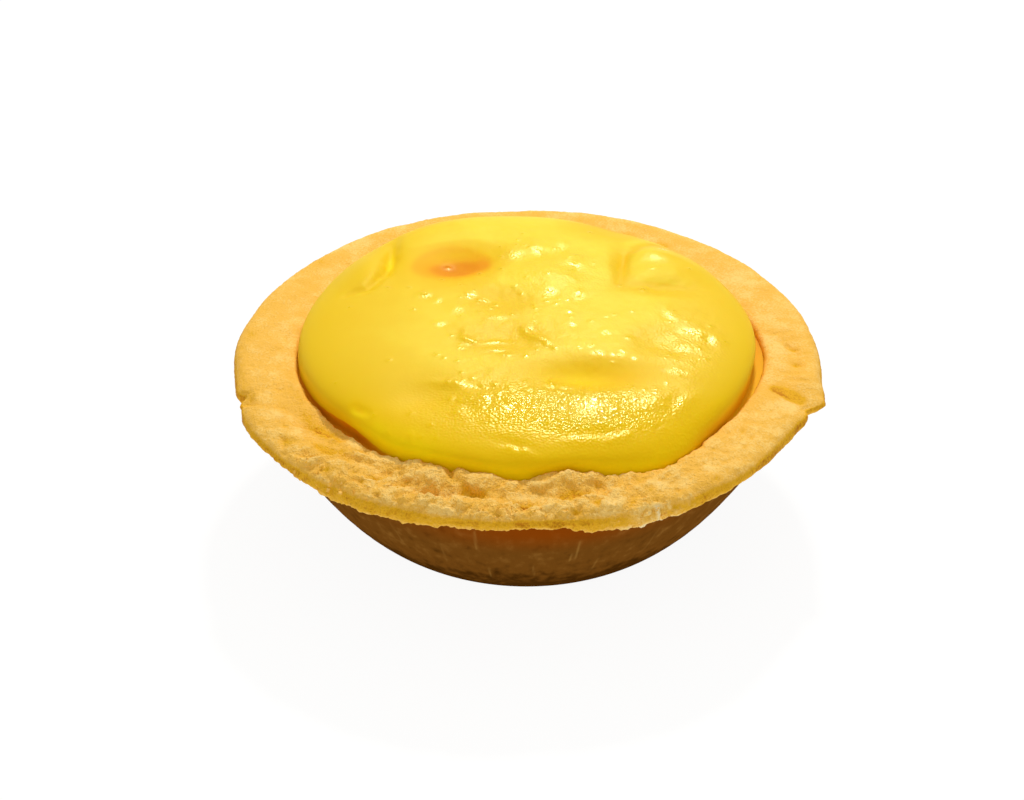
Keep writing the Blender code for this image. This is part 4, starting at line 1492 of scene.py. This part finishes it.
def soft_light(name, turn, rise, distance, width, depth, power, colour):
    """Rectangular light facing the tart; turn is from straight behind it towards the right."""
    light = bpy.data.lights.new(name, "AREA")
    light.shape = "RECTANGLE"
    light.size = width
    light.size_y = depth
    light.energy = power
    light.color = colour
    lamp = add_object(name, light)
    away = lamp_direction(turn, rise)
    lamp.location = (Vector((0.0, 0.0, KEY_AIM_HEIGHT)) + away * distance) * MM
    lamp.rotation_euler = away.to_track_quat("Z", "Y").to_euler()


def add_surroundings():
    """White all round for the eye, with a softer grey to light the tart."""
    world = bpy.data.worlds.new("studio")
    world.use_nodes = True
    tree = world.node_tree
    tree.nodes.clear()
    seen = tree.nodes.new("ShaderNodeBackground")
    seen.inputs["Color"].default_value = (1.0, 1.0, 1.0, 1.0)
    lit = tree.nodes.new("ShaderNodeBackground")
    lit.inputs["Color"].default_value = SURROUNDING_COLOUR
    lit.inputs["Strength"].default_value = SURROUNDING_STRENGTH
    path = tree.nodes.new("ShaderNodeLightPath")
    mix = tree.nodes.new("ShaderNodeMixShader")
    out = tree.nodes.new("ShaderNodeOutputWorld")
    tree.links.new(path.outputs["Is Camera Ray"], mix.inputs["Fac"])
    tree.links.new(lit.outputs[0], mix.inputs[1])
    tree.links.new(seen.outputs[0], mix.inputs[2])
    tree.links.new(mix.outputs[0], out.inputs["Surface"])
    bpy.context.scene.world = world


def add_floor():
    """Plain pale floor, which glows so that it is nearly as white as the surroundings."""
    level = STANDS_AT - 0.05 * MM
    signs = ((-1, -1), (1, -1), (1, 1), (-1, 1))
    corners = [(across * FLOOR_REACH, along * FLOOR_REACH, level) for across, along in signs]
    mesh = bpy.data.meshes.new("floor")
    mesh.from_pydata(corners, [], [(0, 1, 2, 3)])
    floor = add_object("floor", mesh)
    material, _, shader = new_material("floor_white")
    shader.inputs["Base Color"].default_value = (0.10, 0.10, 0.10, 1.0)
    shader.inputs["Emission Color"].default_value = (1.0, 1.0, 1.0, 1.0)
    shader.inputs["Emission Strength"].default_value = FLOOR_GLOW
    shader.inputs["Roughness"].default_value = 0.9
    shader.inputs["Specular IOR Level"].default_value = 0.0
    floor.data.materials.append(material)


def make_studio():
    """Camera, floor, surroundings and lights."""
    add_camera()
    add_surroundings()
    add_floor()
    for light in LIGHTS:
        soft_light(*light)
    bpy.context.scene.view_settings.view_transform = "Standard"


# ---------------------------------------------------------------- all together

make_studio()
make_tin()
crust_rings, skin_first, skin_last = make_crust()
make_crumbs(crust_rings, skin_first, skin_last)
make_custard()
